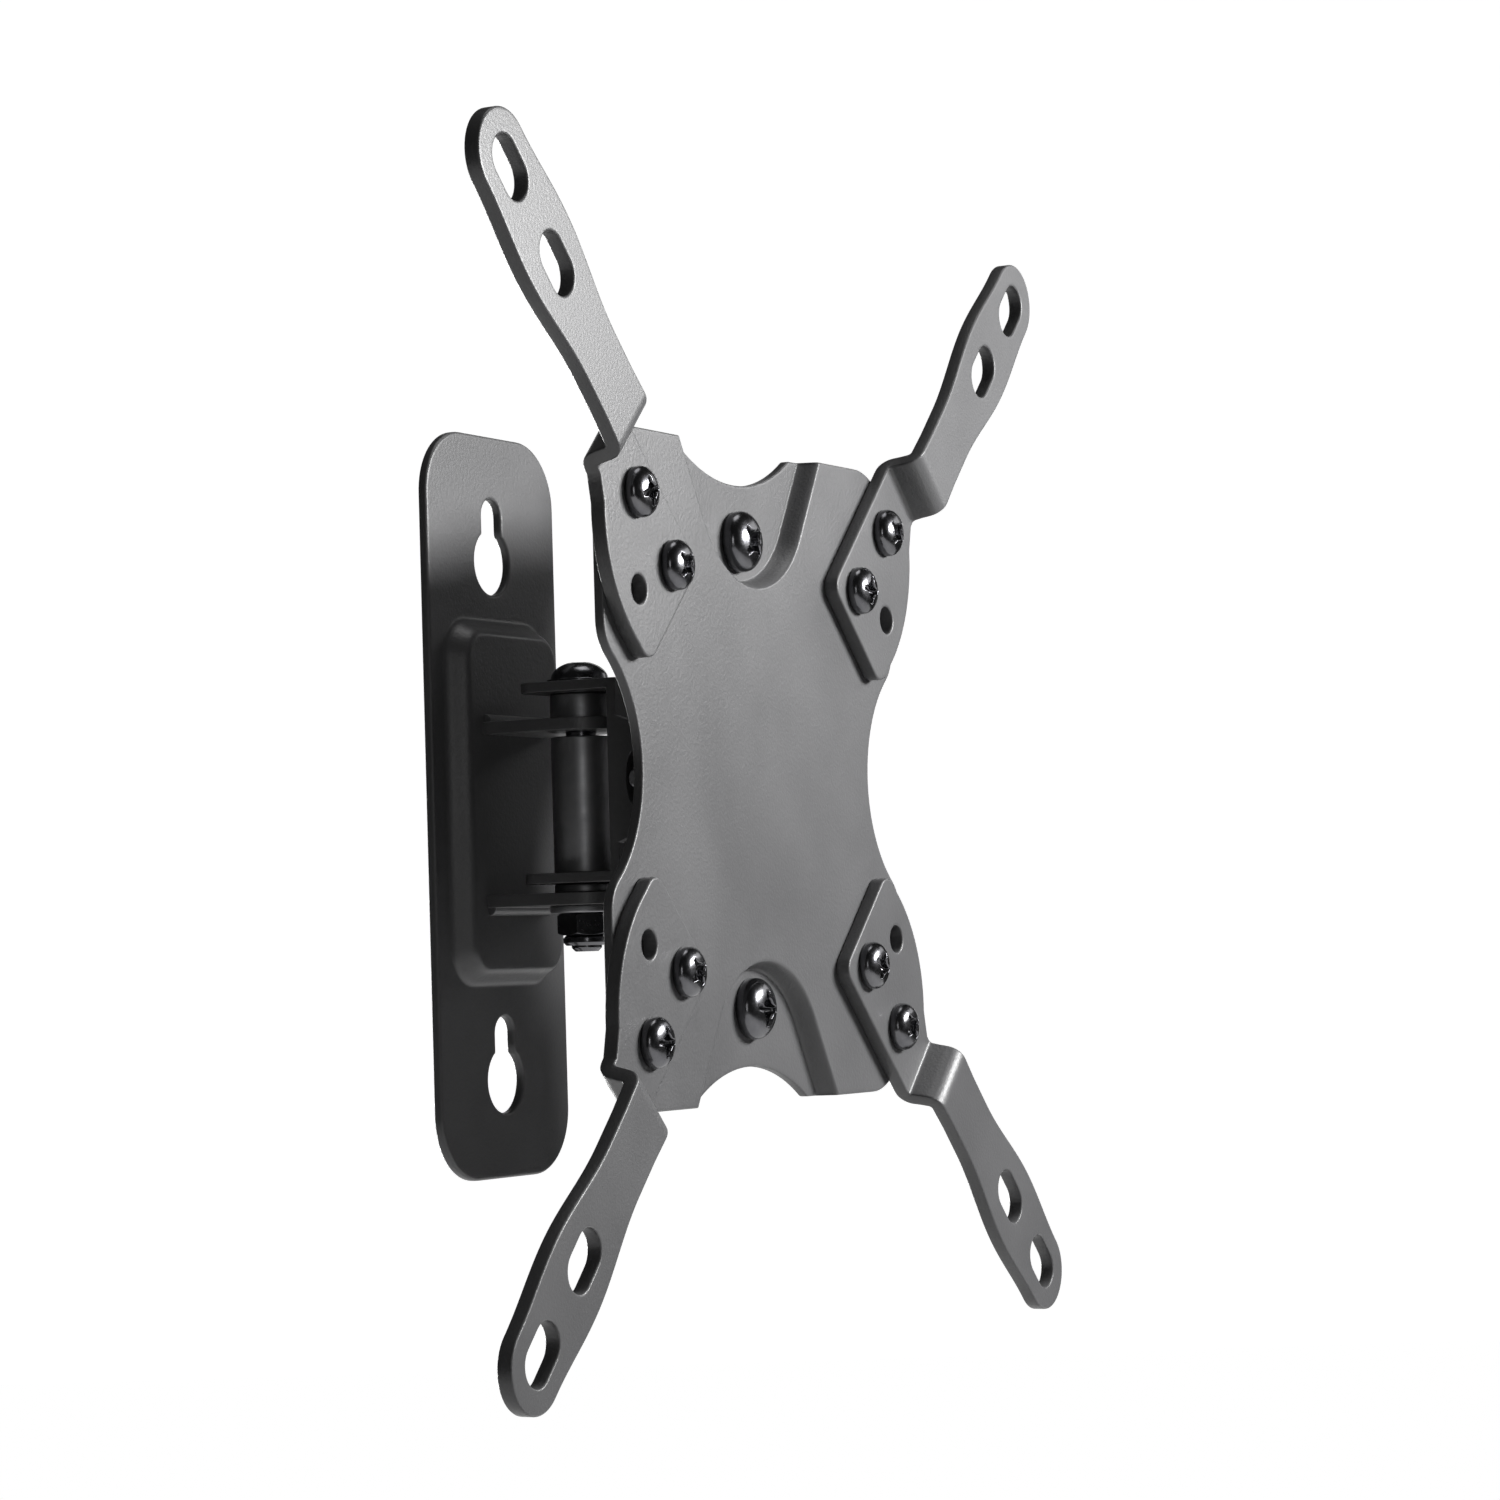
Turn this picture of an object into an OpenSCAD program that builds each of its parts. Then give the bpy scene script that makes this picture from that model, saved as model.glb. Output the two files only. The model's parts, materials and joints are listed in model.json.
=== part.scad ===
// Tilting and swivelling wall mount for a small television.
// Frame: +X right, +Y into the wall, +Z up. The wall face is Y = 0, and the origin
// is midway between the entry holes of the two wall keyholes. Millimetres.

/* [Wall plate] */
// Width of the wall plate
wall_w = 47.5; // [46:0.5:60]
// Height of the wall plate
wall_h = 147.5; // [144:0.5:165]
// Thickness of the wall plate's sheet
wall_t = 2; // [1.5:0.1:2.5]
// Corner radius of the wall plate
wall_r = 13; // [6:1:18]
// Distance between the two keyhole entry holes
key_pitch = 103; // [100:1:106]
// Diameter of a keyhole's entry hole
key_d = 13; // [11:0.5:14]
// Width of a keyhole's neck
key_neck = 7; // [5:0.5:8]
// Height of the neck's end above the entry hole
key_rise = 9.2; // [8:0.1:10]
// Height of the plate's middle above the middle of the entry holes
plate_rise = 3; // [2:0.1:5]
// Width of the raised boss at its foot
boss_w = 39; // [36:1:42]
// Height of the raised boss at its foot
boss_h = 74; // [68:1:76]
// Height of the boss's middle above the plate's middle
boss_lift = 1; // [0:0.5:2]
// How far the boss stands off the plate
boss_rise = 4.2; // [3.5:0.1:5]
// How far the boss's sides slope in
boss_slope = 4; // [2:0.5:5]
// Corner radius of the boss at its foot
boss_r = 7; // [6:0.5:9]

/* [Wall bracket] */
// Width of the wall bracket and the swivel bracket
tab_w = 24; // [20:1:26]
// Thickness of the wall bracket's sheet
bracket_t = 2.4; // [2:0.1:2.6]
// Clear height between the wall bracket's two tabs
bracket_gap = 31.6; // [28:0.2:36]
// How far the bracket sits below the wall plate's middle
bracket_drop = 2.2; // [0:0.1:4]
// Distance from the wall plate's front to the swivel axis
axis_reach = 19.4; // [18:0.1:26]
// How far the wall bracket's tabs reach past the swivel axis
nose_reach = 10.8; // [9:0.1:11]
// Corner radius at the front of the wall bracket's tabs
nose_corner = 9; // [7:0.5:11]
// Size of the weld beads beside the tabs
weld_r = 1.6; // [1:0.1:2]

/* [Swivel bracket] */
// Thickness of the swivel bracket's sheet
swivel_t = 2; // [1.6:0.1:2.4]
// Height of the swivel bracket over both tabs
swivel_h = 39.3; // [38:0.1:44]
// How far the swivel bracket's tabs reach behind the swivel axis
tail_reach = 8; // [7:0.1:9]
// Corner radius at the back of the swivel bracket's tabs
tail_corner = 4; // [2:0.5:6]
// Height of the bracket's side ears at their root
ear_h = 26; // [22:1:30]
// Radius of the ears around the tilt bolt
ear_r = 7; // [6.2:0.1:7]

/* [Tilt hinge] */
// Distance from the swivel axis to the tilt axis
tilt_reach = 29; // [28:0.5:31]
// Radius of the guide slot's centre line around the tilt axis
guide_r = 9.9; // [9:0.1:10.5]
// Diameter of the guide pin
guide_d = 4; // [3:0.5:4]
// Half of the angle that the guide slot covers
guide_a = 20; // [17:1:24]
// Thickness of the tilt bracket's sheet
tilt_t = 2; // [1.6:0.1:2.4]
// Height of the tilt bracket's ears at their root
cheek_h = 44; // [36:1:50]
// Height of the tilt bracket's strip beyond each plate screw
strip_margin = 9; // [7:0.5:10]

/* [TV plate] */
// Distance from the swivel axis to the back of the TV plate
tv_reach = 38; // [37:0.1:42]
// Thickness of the TV plate's sheet
tv_t = 2; // [1.6:0.1:2.4]
// Width of the TV plate
tv_w = 116; // [114:0.5:124]
// Height of the TV plate
tv_h = 125.6; // [124:0.2:132]
// Width of the TV plate at its waist
waist_w = 91; // [86:1:96]
// Radius of the waist
waist_r = 26.5; // [24:0.5:28]
// Radius of the notch in the top and bottom edges
notch_r = 42; // [34:1:46]
// Depth of the notch in the top and bottom edges
notch_depth = 6.7; // [5:0.1:8]
// Depth of the pressed recess around each plate screw
recess_depth = 4; // [3:0.1:4.4]
// How far the recess's walls slope in
recess_slope = 1.2; // [0.6:0.1:2]
// Radius of the recess's round end
recess_r = 22; // [18:0.5:23]
// Distance from a plate screw outwards to the centre of its recess's round end
recess_ahead = 13; // [11:0.5:14]
// Distance between the two plate screws
screws_apart = 90; // [84:1:94]

/* [Arms] */
// Thickness of an arm
arm_t = 3; // [2.5:0.1:3.5]
// How far the outer part of an arm stands in front of its foot
arm_rise = 6.4; // [5:0.1:8]
// Pitch of the screw holes that carry the outer end of each foot
vesa_foot = 100; // [100:1:100]
// Pitch of the outer slots
vesa_tv = 200; // [198:1:204]
// Distance between an arm's two slots
slot_step = 20.7; // [19:0.1:22]
// Width of a slot
slot_w = 8; // [6:0.5:9]
// Length of a slot
slot_l = 12.5; // [11:0.5:13]
// Width of an arm at its bend
arm_w = 14.4; // [13:0.2:16]
// Width of an arm around its slots
arm_end_w = 19; // [18:0.5:22]
// How far the slots lie outside the points of the mounting pattern
slot_shift = 1.5; // [0:0.1:2]
// Distance from the outer slot's middle to the centre of the rounded tip
tip_reach = 2.8; // [2:0.1:5]
// Radius of an arm's tip
tip_r = 8.2; // [7:0.1:9]
// Width of an arm's foot along its screws
foot_w = 15; // [14:0.2:17]
// Distance between two screws of a foot
foot_step = 17.7; // [16:0.1:18]
// Distance from the outer screw to the bend
bend_at = 11.6; // [11:0.1:13]
// Angle of the two bends that step an arm forward
bend_a = 75; // [60:1:85]
// Inner radius of those bends
bend_r = 0.8; // [0.5:0.1:1.2]

/* [Fasteners] */
// Diameter of the pivot, tilt and plate screws
bolt_d = 6; // [5:0.5:6]
// Diameter of the arm screws
screw_d = 5; // [4:0.5:5]
// Diameter of the arm screws' heads
screw_head_d = 9.4; // [8:0.1:10]
// Height of the arm screws' heads
screw_head_h = 3.5; // [2.8:0.1:4]
// Diameter of the plate screws' heads
plate_head_d = 11.8; // [11:0.1:12.4]
// Height of the plate screws' heads
plate_head_h = 4.4; // [4:0.1:5]
// Diameter of the pivot bolt's flanged head
cap_d = 13; // [11:0.5:14]
// Height of the pivot bolt's head
cap_h = 4.1; // [2.8:0.1:4.4]
// Outer diameter of the sleeve and the bush
sleeve_d = 12; // [10:0.5:13]
// Thickness of the spacer washer between the lower tabs
spacer_t = 1.8; // [1.4:0.1:2.2]
// Outer diameter of the washer above the lock nut
washer_d = 14; // [12:0.5:16]
// Thickness of the washers
washer_t = 1.5; // [1:0.1:2]
// Width across flats of the lock nuts
nut_w = 10; // [9:0.5:10]
// Height of the lock nuts
nut_h = 6.4; // [5:0.1:7]
// Height of the plain nuts on the plate screws
plate_nut_h = 5; // [4:0.1:5.2]
// Diameter of the round weld nuts of the arm screws
arm_nut_d = 8.7; // [8.4:0.1:10]
// Height of those weld nuts
arm_nut_h = 2; // [1.6:0.1:3]
// How far an arm screw's end shows past its weld nut
arm_thread_end = 0.4; // [0.2:0.1:1]
// How far the other screws' ends show past their nuts
thread_end = 1.2; // [0.5:0.1:2]
// Thickness of the friction washers at the tilt hinge
friction_t = 0.8; // [0.6:0.1:1]

/* [Clearances] */
// Radial clearance of a part that turns on a bolt
run_gap = 0.05; // [0.03:0.01:0.08]
// Gap between two faces that slide on each other
face_gap = 0.05; // [0.02:0.01:0.1]
// Gap between a wall bracket tab's end and the swivel bracket's web
swing_gap = 0.4; // [0.3:0.1:1]
// Diametral clearance of a screw in its hole
hole_gap = 0.5; // [0.4:0.1:0.8]
// Free height above the sleeve
sleeve_gap = 0.9; // [0.3:0.1:1.5]
// Clearance of the bracket in the boss's slots
slot_gap = 0.2; // [0.1:0.1:0.4]

/* [Hidden] */

// Facets of round shapes, and of the rounded layers of a hull
$fn = 64;
hull_fn = 32;
// Overlap that makes a cut pass cleanly through a face
cut = 1;

// Colours of the finishes
steel_black = [0.30, 0.30, 0.31];
plate_black = [0.42, 0.42, 0.43];
screw_black = [0.13, 0.13, 0.14];
nylon_black = [0.08, 0.08, 0.09];
nylon_blue = [0.16, 0.20, 0.30];

// Largest radius of the wall bracket's tabs around the swivel axis, ahead of the web
nose_swing = norm([tab_w / 2 - nose_corner, nose_reach - nose_corner]) + nose_corner;

// Planes from the wall forward
wall_front = -wall_t;
boss_front = wall_front - boss_rise;
axis_y = wall_front - axis_reach;
web_back = axis_y - nose_swing - swing_gap;
web_front = web_back - swivel_t;
tilt_y = axis_y - tilt_reach;
tv_back = axis_y - tv_reach;
tv_front = tv_back - tv_t;
foot_front = tv_front - arm_t;
strip_front = tv_back + recess_depth;

// Heights
boss_z = plate_rise + boss_lift;
bracket_z = plate_rise - bracket_drop;
low_tab_top = bracket_z - bracket_gap / 2;
low_tab_bottom = low_tab_top - bracket_t;
high_tab_bottom = bracket_z + bracket_gap / 2;
high_tab_top = high_tab_bottom + bracket_t;
swivel_bottom = low_tab_top + spacer_t + face_gap;
swivel_top = swivel_bottom + swivel_h;
swivel_z = (swivel_bottom + swivel_top) / 2;

// Bores
bolt_bore = bolt_d + 2 * run_gap;
bolt_hole = bolt_d + hole_gap;
screw_hole = screw_d + hole_gap;

// Spacing of the pieces on the tilt bolt, outwards from the middle
ear_out = tab_w / 2;
ear_in = ear_out - swivel_t;
cheek_out = ear_in - friction_t - 2 * face_gap;
cheek_in = cheek_out - tilt_t;
// Radius of the tilt bracket's ears where they turn past the swivel bracket's web
cheek_r = guide_r + guide_d / 2 + 1.1;
guide_slot_w = guide_d + 0.4;

// Arm measures along the diagonal, from the outer screw of a foot
diagonal = sqrt(2);
outer_slot_at = (vesa_tv - vesa_foot) / 2 * diagonal + slot_shift;
foot_end_at = foot_step + 6.8;
// Middle-line radius of the arm's bends, and the length that the step takes
bend_mid_r = bend_r + arm_t / 2;
bend_run = 2 * bend_mid_r * sin(bend_a)
    + (arm_rise - 2 * bend_mid_r * (1 - cos(bend_a))) / tan(bend_a);
// Centre and radius of a foot's curved outer edge, and radius of its tip
foot_curve_at = foot_step * [-0.915, 0.597];
foot_curve_r = foot_step * 1.73;
foot_tip_r = 3.5;
side_hole = foot_step / diagonal;

function arc(x, y, r, from, to, steps = 12) =
    [for (i = [0 : steps]) let (a = from + (to - from) * i / steps) [x + r * cos(a), y + r * sin(a)]];

// A rectangle with rounded corners, centred
module round_rect(w, h, r) {
    square([w - 2 * r, h], center = true);
    square([w, h - 2 * r], center = true);
    for (x = [-1, 1], y = [-1, 1])
        translate([x * (w / 2 - r), y * (h / 2 - r)])
            circle(r);
}

// Stands a shape drawn in X and Z up at depth y, and gives it thickness t towards the wall
module upright(y, t) {
    translate([0, y + t, 0])
        rotate([90, 0, 0])
            linear_extrude(t)
                children();
}

// Stands a shape drawn in Y and Z up as a sheet from x to x + t
module sideways(x, t) {
    translate([x, 0, 0])
        rotate([90, 0, 90])
            linear_extrude(t)
                children();
}

// A ring around Z from z1 to z2 with its outer edges broken by c
module ring(d_out, d_in, z1, z2, c = 0.3) {
    rotate_extrude()
        polygon([[d_in / 2, z1], [d_out / 2 - c, z1], [d_out / 2, z1 + c],
            [d_out / 2, z2 - c], [d_out / 2 - c, z2], [d_in / 2, z2]]);
}

// A plain shank around Z from z1 down to z2, with a chamfered end
module shank(d, z1, z2) {
    tip = d / 8;
    rotate_extrude()
        polygon([[0, z1], [d / 2, z1], [d / 2, z2 + tip], [d / 2 - tip, z2], [0, z2]]);
}

// A hexagonal nut around Z standing on z = 0, chamfered at both ends
module hex_nut(w, h, bore) {
    corner = w / 2 / cos(30);
    chamfer = (corner - w / 2) * 0.6;
    difference() {
        intersection() {
            cylinder(h = h, r = corner, $fn = 6);
            rotate_extrude()
                polygon([[0, 0], [w / 2, 0], [corner, chamfer], [corner, h - chamfer],
                    [w / 2, h], [0, h]]);
        }
        translate([0, 0, -cut])
            cylinder(h = h + 2 * cut, d = bore);
    }
}

// A lock nut hangs below z = 0 around Z: hexagon, then a collar that holds a nylon ring
module lock_nut() {
    hex_h = nut_h * 0.68;
    collar_d = nut_w - 0.8;
    difference() {
        union() {
            translate([0, 0, -hex_h])
                hex_nut(nut_w, hex_h, bolt_d);
            ring(collar_d, bolt_d, -nut_h, -hex_h, 0.6);
        }
        translate([0, 0, -nut_h - cut])
            cylinder(h = nut_h - hex_h + cut, d = collar_d - 1.6);
    }
}

// The nylon ring inside a lock nut's collar
module nut_ring() {
    hex_h = nut_h * 0.68;
    ring(nut_w - 2.5, bolt_d, -nut_h + 0.3, -hex_h - 0.05, 0.2);
}

// A cross recess cut into a head whose top is at z = 0
module cross_recess(w) {
    depth = w * 0.5;
    blade = w * 0.2;
    for (a = [0, 90])
        rotate([0, 0, a])
            translate([0, blade / 2, 0])
                rotate([90, 0, 0])
                    linear_extrude(blade)
                        polygon([[-w / 2, cut], [w / 2, cut], [w / 2, 0], [w * 0.2, -depth],
                            [-w * 0.2, -depth], [-w / 2, 0]]);
    translate([0, 0, -depth])
        cylinder(h = depth + cut, d1 = w * 0.25, d2 = w * 0.62);
}

// A pan head screw along -Z: the head stands on z = 0, the shank hangs below it
module pan_screw(d, head_d, head_h, length) {
    rim = head_h * 0.32;
    r = head_d / 2;
    crown = head_h - rim;
    difference() {
        union() {
            rotate_extrude()
                polygon(concat([[0, 0], [r - 0.25, 0], [r, 0.25]],
                    [for (a = [0 : 9 : 90]) [r * pow(cos(a), 0.75), rim + crown * sin(a)]]));
            shank(d, 0, -length);
        }
        translate([0, 0, head_h])
            cross_recess(head_d * 0.56);
    }
}

// Turns a fastener made around Z so that its head faces forward, with the seat at depth y
module facing(x, y, z) {
    translate([x, y, z])
        rotate([90, 0, 0])
            children();
}

// Profile of one keyhole
module keyhole() {
    circle(d = key_d);
    translate([-key_neck / 2, 0])
        square([key_neck, key_rise]);
    translate([0, key_rise])
        circle(d = key_neck);
}

// The boss as a solid; inset shrinks it to the pocket behind the sheet
module boss_block(inset, front) {
    edge = 0.8;
    crown_w = boss_w - 2 * inset - 1.5 * boss_slope;
    crown_h = boss_h - 2 * inset - 2 * boss_slope;
    hull() {
        upright(wall_front, cut / 10)
            round_rect(boss_w - 2 * inset, boss_h - 2 * inset, boss_r - inset, $fn = hull_fn);
        upright(front + edge, cut / 10)
            round_rect(crown_w, crown_h, boss_r - 1 - inset, $fn = hull_fn);
        upright(front, cut / 10)
            round_rect(crown_w - 2 * edge, crown_h - 2 * edge, boss_r - 2 - inset, $fn = hull_fn);
    }
}

// Pressed sheet with a keyhole above and below, and a hollow boss that the bracket passes through
module wall_plate() {
    color(steel_black)
        difference() {
            union() {
                upright(wall_front, wall_t)
                    translate([0, plate_rise])
                        round_rect(wall_w, wall_h, wall_r);
                translate([0, 0, boss_z])
                    boss_block(0, boss_front);
            }
            translate([0, 0, boss_z]) {
                boss_block(wall_t * 0.8, boss_front + wall_t);
                upright(wall_front, wall_t + cut)
                    round_rect(boss_w - 1.6 * wall_t, boss_h - 1.6 * wall_t, boss_r - 0.8 * wall_t);
            }
            for (z = [-1, 1])
                upright(wall_front - cut, wall_t + 2 * cut)
                    translate([0, z * key_pitch / 2])
                        keyhole();
            for (z = [low_tab_bottom, high_tab_bottom])
                translate([-tab_w / 2 - slot_gap, boss_front - cut, z - slot_gap])
                    cube([tab_w + 2 * slot_gap, wall_t + 2 * cut, bracket_t + 2 * slot_gap]);
        }
}

// One horizontal tab of thickness t from depth root to depth end, with rounded end corners
module tab(root, end, corner, z, t) {
    side = end > root ? 1 : -1;
    half = tab_w / 2;
    translate([0, 0, z])
        linear_extrude(t)
            difference() {
                union() {
                    translate([-half, min(root, end - side * corner)])
                        square([tab_w, abs(end - side * corner - root)]);
                    translate([corner - half, min(root, end)])
                        square([tab_w - 2 * corner, abs(end - root)]);
                    for (x = [corner - half, half - corner])
                        translate([x, end - side * corner])
                            circle(corner);
                }
                translate([0, axis_y])
                    circle(d = bolt_bore);
            }
}

// U-shaped bracket: its web lies in the boss's pocket, its two tabs carry the swivel bolt
module wall_bracket() {
    web_y = boss_front + wall_t;
    color(steel_black) {
        difference() {
            union() {
                translate([-tab_w / 2, web_y, low_tab_bottom])
                    cube([tab_w, bracket_t, high_tab_top - low_tab_bottom]);
                for (z = [low_tab_bottom, high_tab_bottom])
                    tab(web_y + bracket_t, axis_y - nose_reach, nose_corner, z, bracket_t);
            }
            for (s = [-1, 1])
                translate([-tab_w / 2 - cut, web_y + bracket_t, bracket_z + s * (bracket_gap / 2 + bracket_t)])
                    rotate([45, 0, 0])
                        translate([0, -1.2, -1.2])
                            cube([tab_w + 2 * cut, 2.4, 2.4]);
        }
        for (s = [-1, 1])
            translate([0, boss_front, bracket_z + s * (bracket_gap / 2 + bracket_t)])
                weld_bead(s);
    }
}

// A weld bead along the root of a tab: s is 1 above the tab and -1 below it
module weld_bead(s) {
    intersection() {
        rotate([0, 90, 0])
            cylinder(h = tab_w - 1, r = weld_r, center = true);
        translate([-tab_w / 2, -weld_r, s > 0 ? 0 : -weld_r])
            cube([tab_w, weld_r, weld_r]);
    }
}

// Flanged button head with a hexagonal socket, shank down through all four tabs
module pivot_bolt() {
    r = cap_d / 2;
    flange = 0.8;
    dome_r = r - flange;
    dome_end = 66;
    socket_depth = 2.2;
    bottom = low_tab_bottom - washer_t - nut_h - thread_end;
    top = swivel_top + face_gap;
    color(screw_black)
        translate([0, axis_y, 0])
            difference() {
                union() {
                    rotate_extrude()
                        polygon(concat([[0, top], [r - 0.2, top], [r, top + 0.2], [r, top + flange],
                                [dome_r, top + flange]],
                            [for (a = [10 : 8 : dome_end]) [dome_r * cos(a),
                                top + flange + (cap_h - flange) * sin(a) / sin(dome_end)]],
                            [[0, top + cap_h]]));
                    shank(bolt_d, top, bottom);
                }
                translate([0, 0, top + cap_h - socket_depth])
                    cylinder(h = socket_depth + cut, r = bolt_d / 3 / cos(30), $fn = 6);
            }
}

module upper_bush() {
    color(screw_black)
        translate([0, axis_y, 0])
            ring(sleeve_d, bolt_bore, high_tab_top, swivel_top - swivel_t - face_gap);
}

module pivot_sleeve() {
    color(screw_black)
        translate([0, axis_y, 0])
            ring(sleeve_d, bolt_bore, swivel_bottom + swivel_t, high_tab_bottom - sleeve_gap);
}

module spacer_washer() {
    color(screw_black)
        translate([0, axis_y, 0])
            ring(sleeve_d, bolt_bore, low_tab_top, low_tab_top + spacer_t);
}

module pivot_washer() {
    color(screw_black)
        translate([0, axis_y, 0])
            ring(washer_d, bolt_bore, low_tab_bottom - washer_t, low_tab_bottom);
}

module pivot_lock_nut() {
    color(screw_black)
        translate([0, axis_y, low_tab_bottom - washer_t])
            rotate([0, 0, 12])
                lock_nut();
}

module pivot_nut_ring() {
    color(nylon_blue)
        translate([0, axis_y, low_tab_bottom - washer_t])
            nut_ring();
}

// Outline of a swivel bracket ear in Y and Z: root at the web, round end at the tilt bolt
module ear_outline() {
    run = web_back - tilt_y;
    lean = atan2(ear_h / 2, run) + asin(ear_r / sqrt(run * run + ear_h * ear_h / 4)) - 90;
    touch = [tilt_y - ear_r * sin(-lean), ear_r * cos(lean)];
    polygon([[web_back, ear_h / 2], touch, [touch[0], -touch[1]], [web_back, -ear_h / 2]]);
    translate([tilt_y, 0])
        circle(ear_r);
}

// Curved slot about the tilt axis that the guide pin runs in
module guide_slot() {
    translate([tilt_y, 0])
        difference() {
            circle(guide_r + guide_slot_w / 2);
            circle(guide_r - guide_slot_w / 2);
            for (s = [-1, 1])
                rotate(90 - s * (90 - guide_a))
                    translate([-2 * guide_r, 0])
                        square([4 * guide_r, 2 * guide_r]);
        }
    for (s = [-1, 1])
        translate([tilt_y + guide_r * cos(guide_a), s * guide_r * sin(guide_a)])
            circle(d = guide_slot_w);
}

// Cross-shaped bracket: two tabs back to the swivel bolt, two ears forward to the tilt bolt
module swivel_bracket() {
    color(steel_black)
        difference() {
            union() {
                translate([-tab_w / 2, web_front, swivel_bottom])
                    cube([tab_w, swivel_t, swivel_h]);
                for (z = [swivel_bottom, swivel_top - swivel_t])
                    tab(web_front, axis_y + tail_reach, tail_corner, z, swivel_t);
                for (x = [-ear_out, ear_in])
                    sideways(x, swivel_t)
                        translate([0, swivel_z])
                            ear_outline();
            }
            translate([-ear_out - cut, 0, 0])
                sideways(0, tab_w + 2 * cut)
                    translate([0, swivel_z]) {
                        guide_slot();
                        translate([tilt_y, 0])
                            circle(d = bolt_bore);
                    }
        }
}

// Turns a piece made around Z so that +Z points to -X, on the tilt axis
module on_tilt_axis() {
    translate([0, tilt_y, swivel_z])
        rotate([0, -90, 0])
            children();
}

module tilt_bolt() {
    seat = ear_out + washer_t;
    color(screw_black)
        on_tilt_axis()
            translate([0, 0, seat])
                pan_screw(bolt_d, plate_head_d - 1, plate_head_h - 1, 2 * seat + nut_h + thread_end);
}

module tilt_washers() {
    color(screw_black)
        on_tilt_axis()
            for (z = [-ear_out - washer_t, ear_out])
                ring(washer_d - 2, bolt_bore, z, z + washer_t);
}

module friction_washers() {
    color(nylon_black)
        on_tilt_axis()
            for (z = [-ear_in, cheek_out + 2 * face_gap])
                ring(washer_d - 2, bolt_bore, z, z + friction_t, 0.1);
}

module tilt_spacer() {
    color(screw_black)
        on_tilt_axis()
            ring(bolt_d + 4, bolt_bore, -cheek_in + face_gap, cheek_in - face_gap);
}

module tilt_lock_nut() {
    color(screw_black)
        on_tilt_axis()
            translate([0, 0, -ear_out - washer_t])
                lock_nut();
}

module tilt_nut_ring() {
    color(nylon_blue)
        on_tilt_axis()
            translate([0, 0, -ear_out - washer_t])
                nut_ring();
}

// Outline of a tilt bracket ear in Y and Z, kept inside the circle that clears the web
module cheek_outline() {
    pin_y = tilt_y + guide_r;
    intersection() {
        polygon([[tv_back, cheek_h / 2], [tilt_y + 4, guide_r], [pin_y + guide_d, guide_d + 1],
            [pin_y + guide_d, -guide_d - 1], [tilt_y + 4, -guide_r], [tv_back, -cheek_h / 2]]);
        union() {
            translate([tilt_y, 0])
                circle(cheek_r);
            translate([tv_back - cut, -cheek_h])
                square([tilt_y - tv_back + cut, 2 * cheek_h]);
        }
    }
}

// Side profile of the strip: flat against the plate, stepped back behind each recess
module strip_profile() {
    end = screws_apart / 2 + strip_margin;
    flat = end * 0.53;
    step = flat + recess_depth + 1;
    for (s = [-1, 1])
        polygon([[tv_back, 0], [tv_back, s * flat], [strip_front, s * step],
            [strip_front, s * end], [strip_front + tilt_t, s * end],
            [strip_front + tilt_t, s * (step - 0.8)], [tv_back + tilt_t, s * (flat - 0.8)],
            [tv_back + tilt_t, 0]]);
}

// Upright strip bolted to the TV plate, with two ears back to the tilt bolt
module tilt_bracket() {
    strip_w = 2 * cheek_out;
    color(steel_black)
        difference() {
            union() {
                intersection() {
                    sideways(-strip_w / 2, strip_w)
                        translate([0, swivel_z])
                            strip_profile();
                    upright(tv_back - cut, recess_depth + tilt_t + 2 * cut)
                        translate([0, swivel_z])
                            round_rect(strip_w, screws_apart + 2 * strip_margin, 6);
                }
                for (x = [-cheek_out, cheek_in])
                    sideways(x, tilt_t)
                        translate([0, swivel_z])
                            cheek_outline();
            }
            sideways(-strip_w / 2 - cut, strip_w + 2 * cut)
                translate([0, swivel_z]) {
                    translate([tilt_y, 0])
                        circle(d = bolt_bore);
                    translate([tilt_y + guide_r, 0])
                        circle(d = guide_d);
                }
            for (s = [-1, 1])
                upright(strip_front - cut, tilt_t + 2 * cut)
                    translate([0, swivel_z + s * screws_apart / 2])
                        circle(d = bolt_hole);
        }
}

// Pin fixed in the tilt bracket's ears that runs in the curved slots
module tilt_guide_pin() {
    length = tab_w - 0.6;
    color(screw_black)
        translate([0, tilt_y + guide_r, swivel_z])
            rotate([0, 90, 0])
                ring(guide_d, 0, -length / 2, length / 2);
}

// One quarter of the TV plate's outline, from the notch round to the waist
function plate_quarter() =
    let (top = tv_h / 2, side = tv_w / 2, notch_y = top - notch_depth + notch_r, lip = 2,
        lip_y = top - lip, lip_x = sqrt(pow(notch_r + lip, 2) - pow(notch_y - lip_y, 2)),
        lip_a = atan2(notch_y - lip_y, -lip_x), corner = 14, blend = 8,
        waist_x = waist_w / 2 + waist_r, blend_x = side - blend,
        blend_y = sqrt(pow(waist_r + blend, 2) - pow(waist_x - blend_x, 2)),
        blend_a = atan2(-blend_y, waist_x - blend_x))
    concat(
        arc(0, notch_y, notch_r, -90, atan2(lip_y - notch_y, lip_x)),
        arc(lip_x, lip_y, lip, lip_a, 90, 5),
        arc(side - corner, top - corner, corner, 90, 0),
        arc(blend_x, blend_y, blend, 0, blend_a, 6),
        arc(waist_x, 0, waist_r, blend_a + 180, 180));

// Outline of the TV plate
module plate_outline() {
    for (x = [0, 1], z = [0, 1])
        mirror([x, 0])
            mirror([0, z])
                polygon(concat([[0, 0]], plate_quarter()));
}

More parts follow.
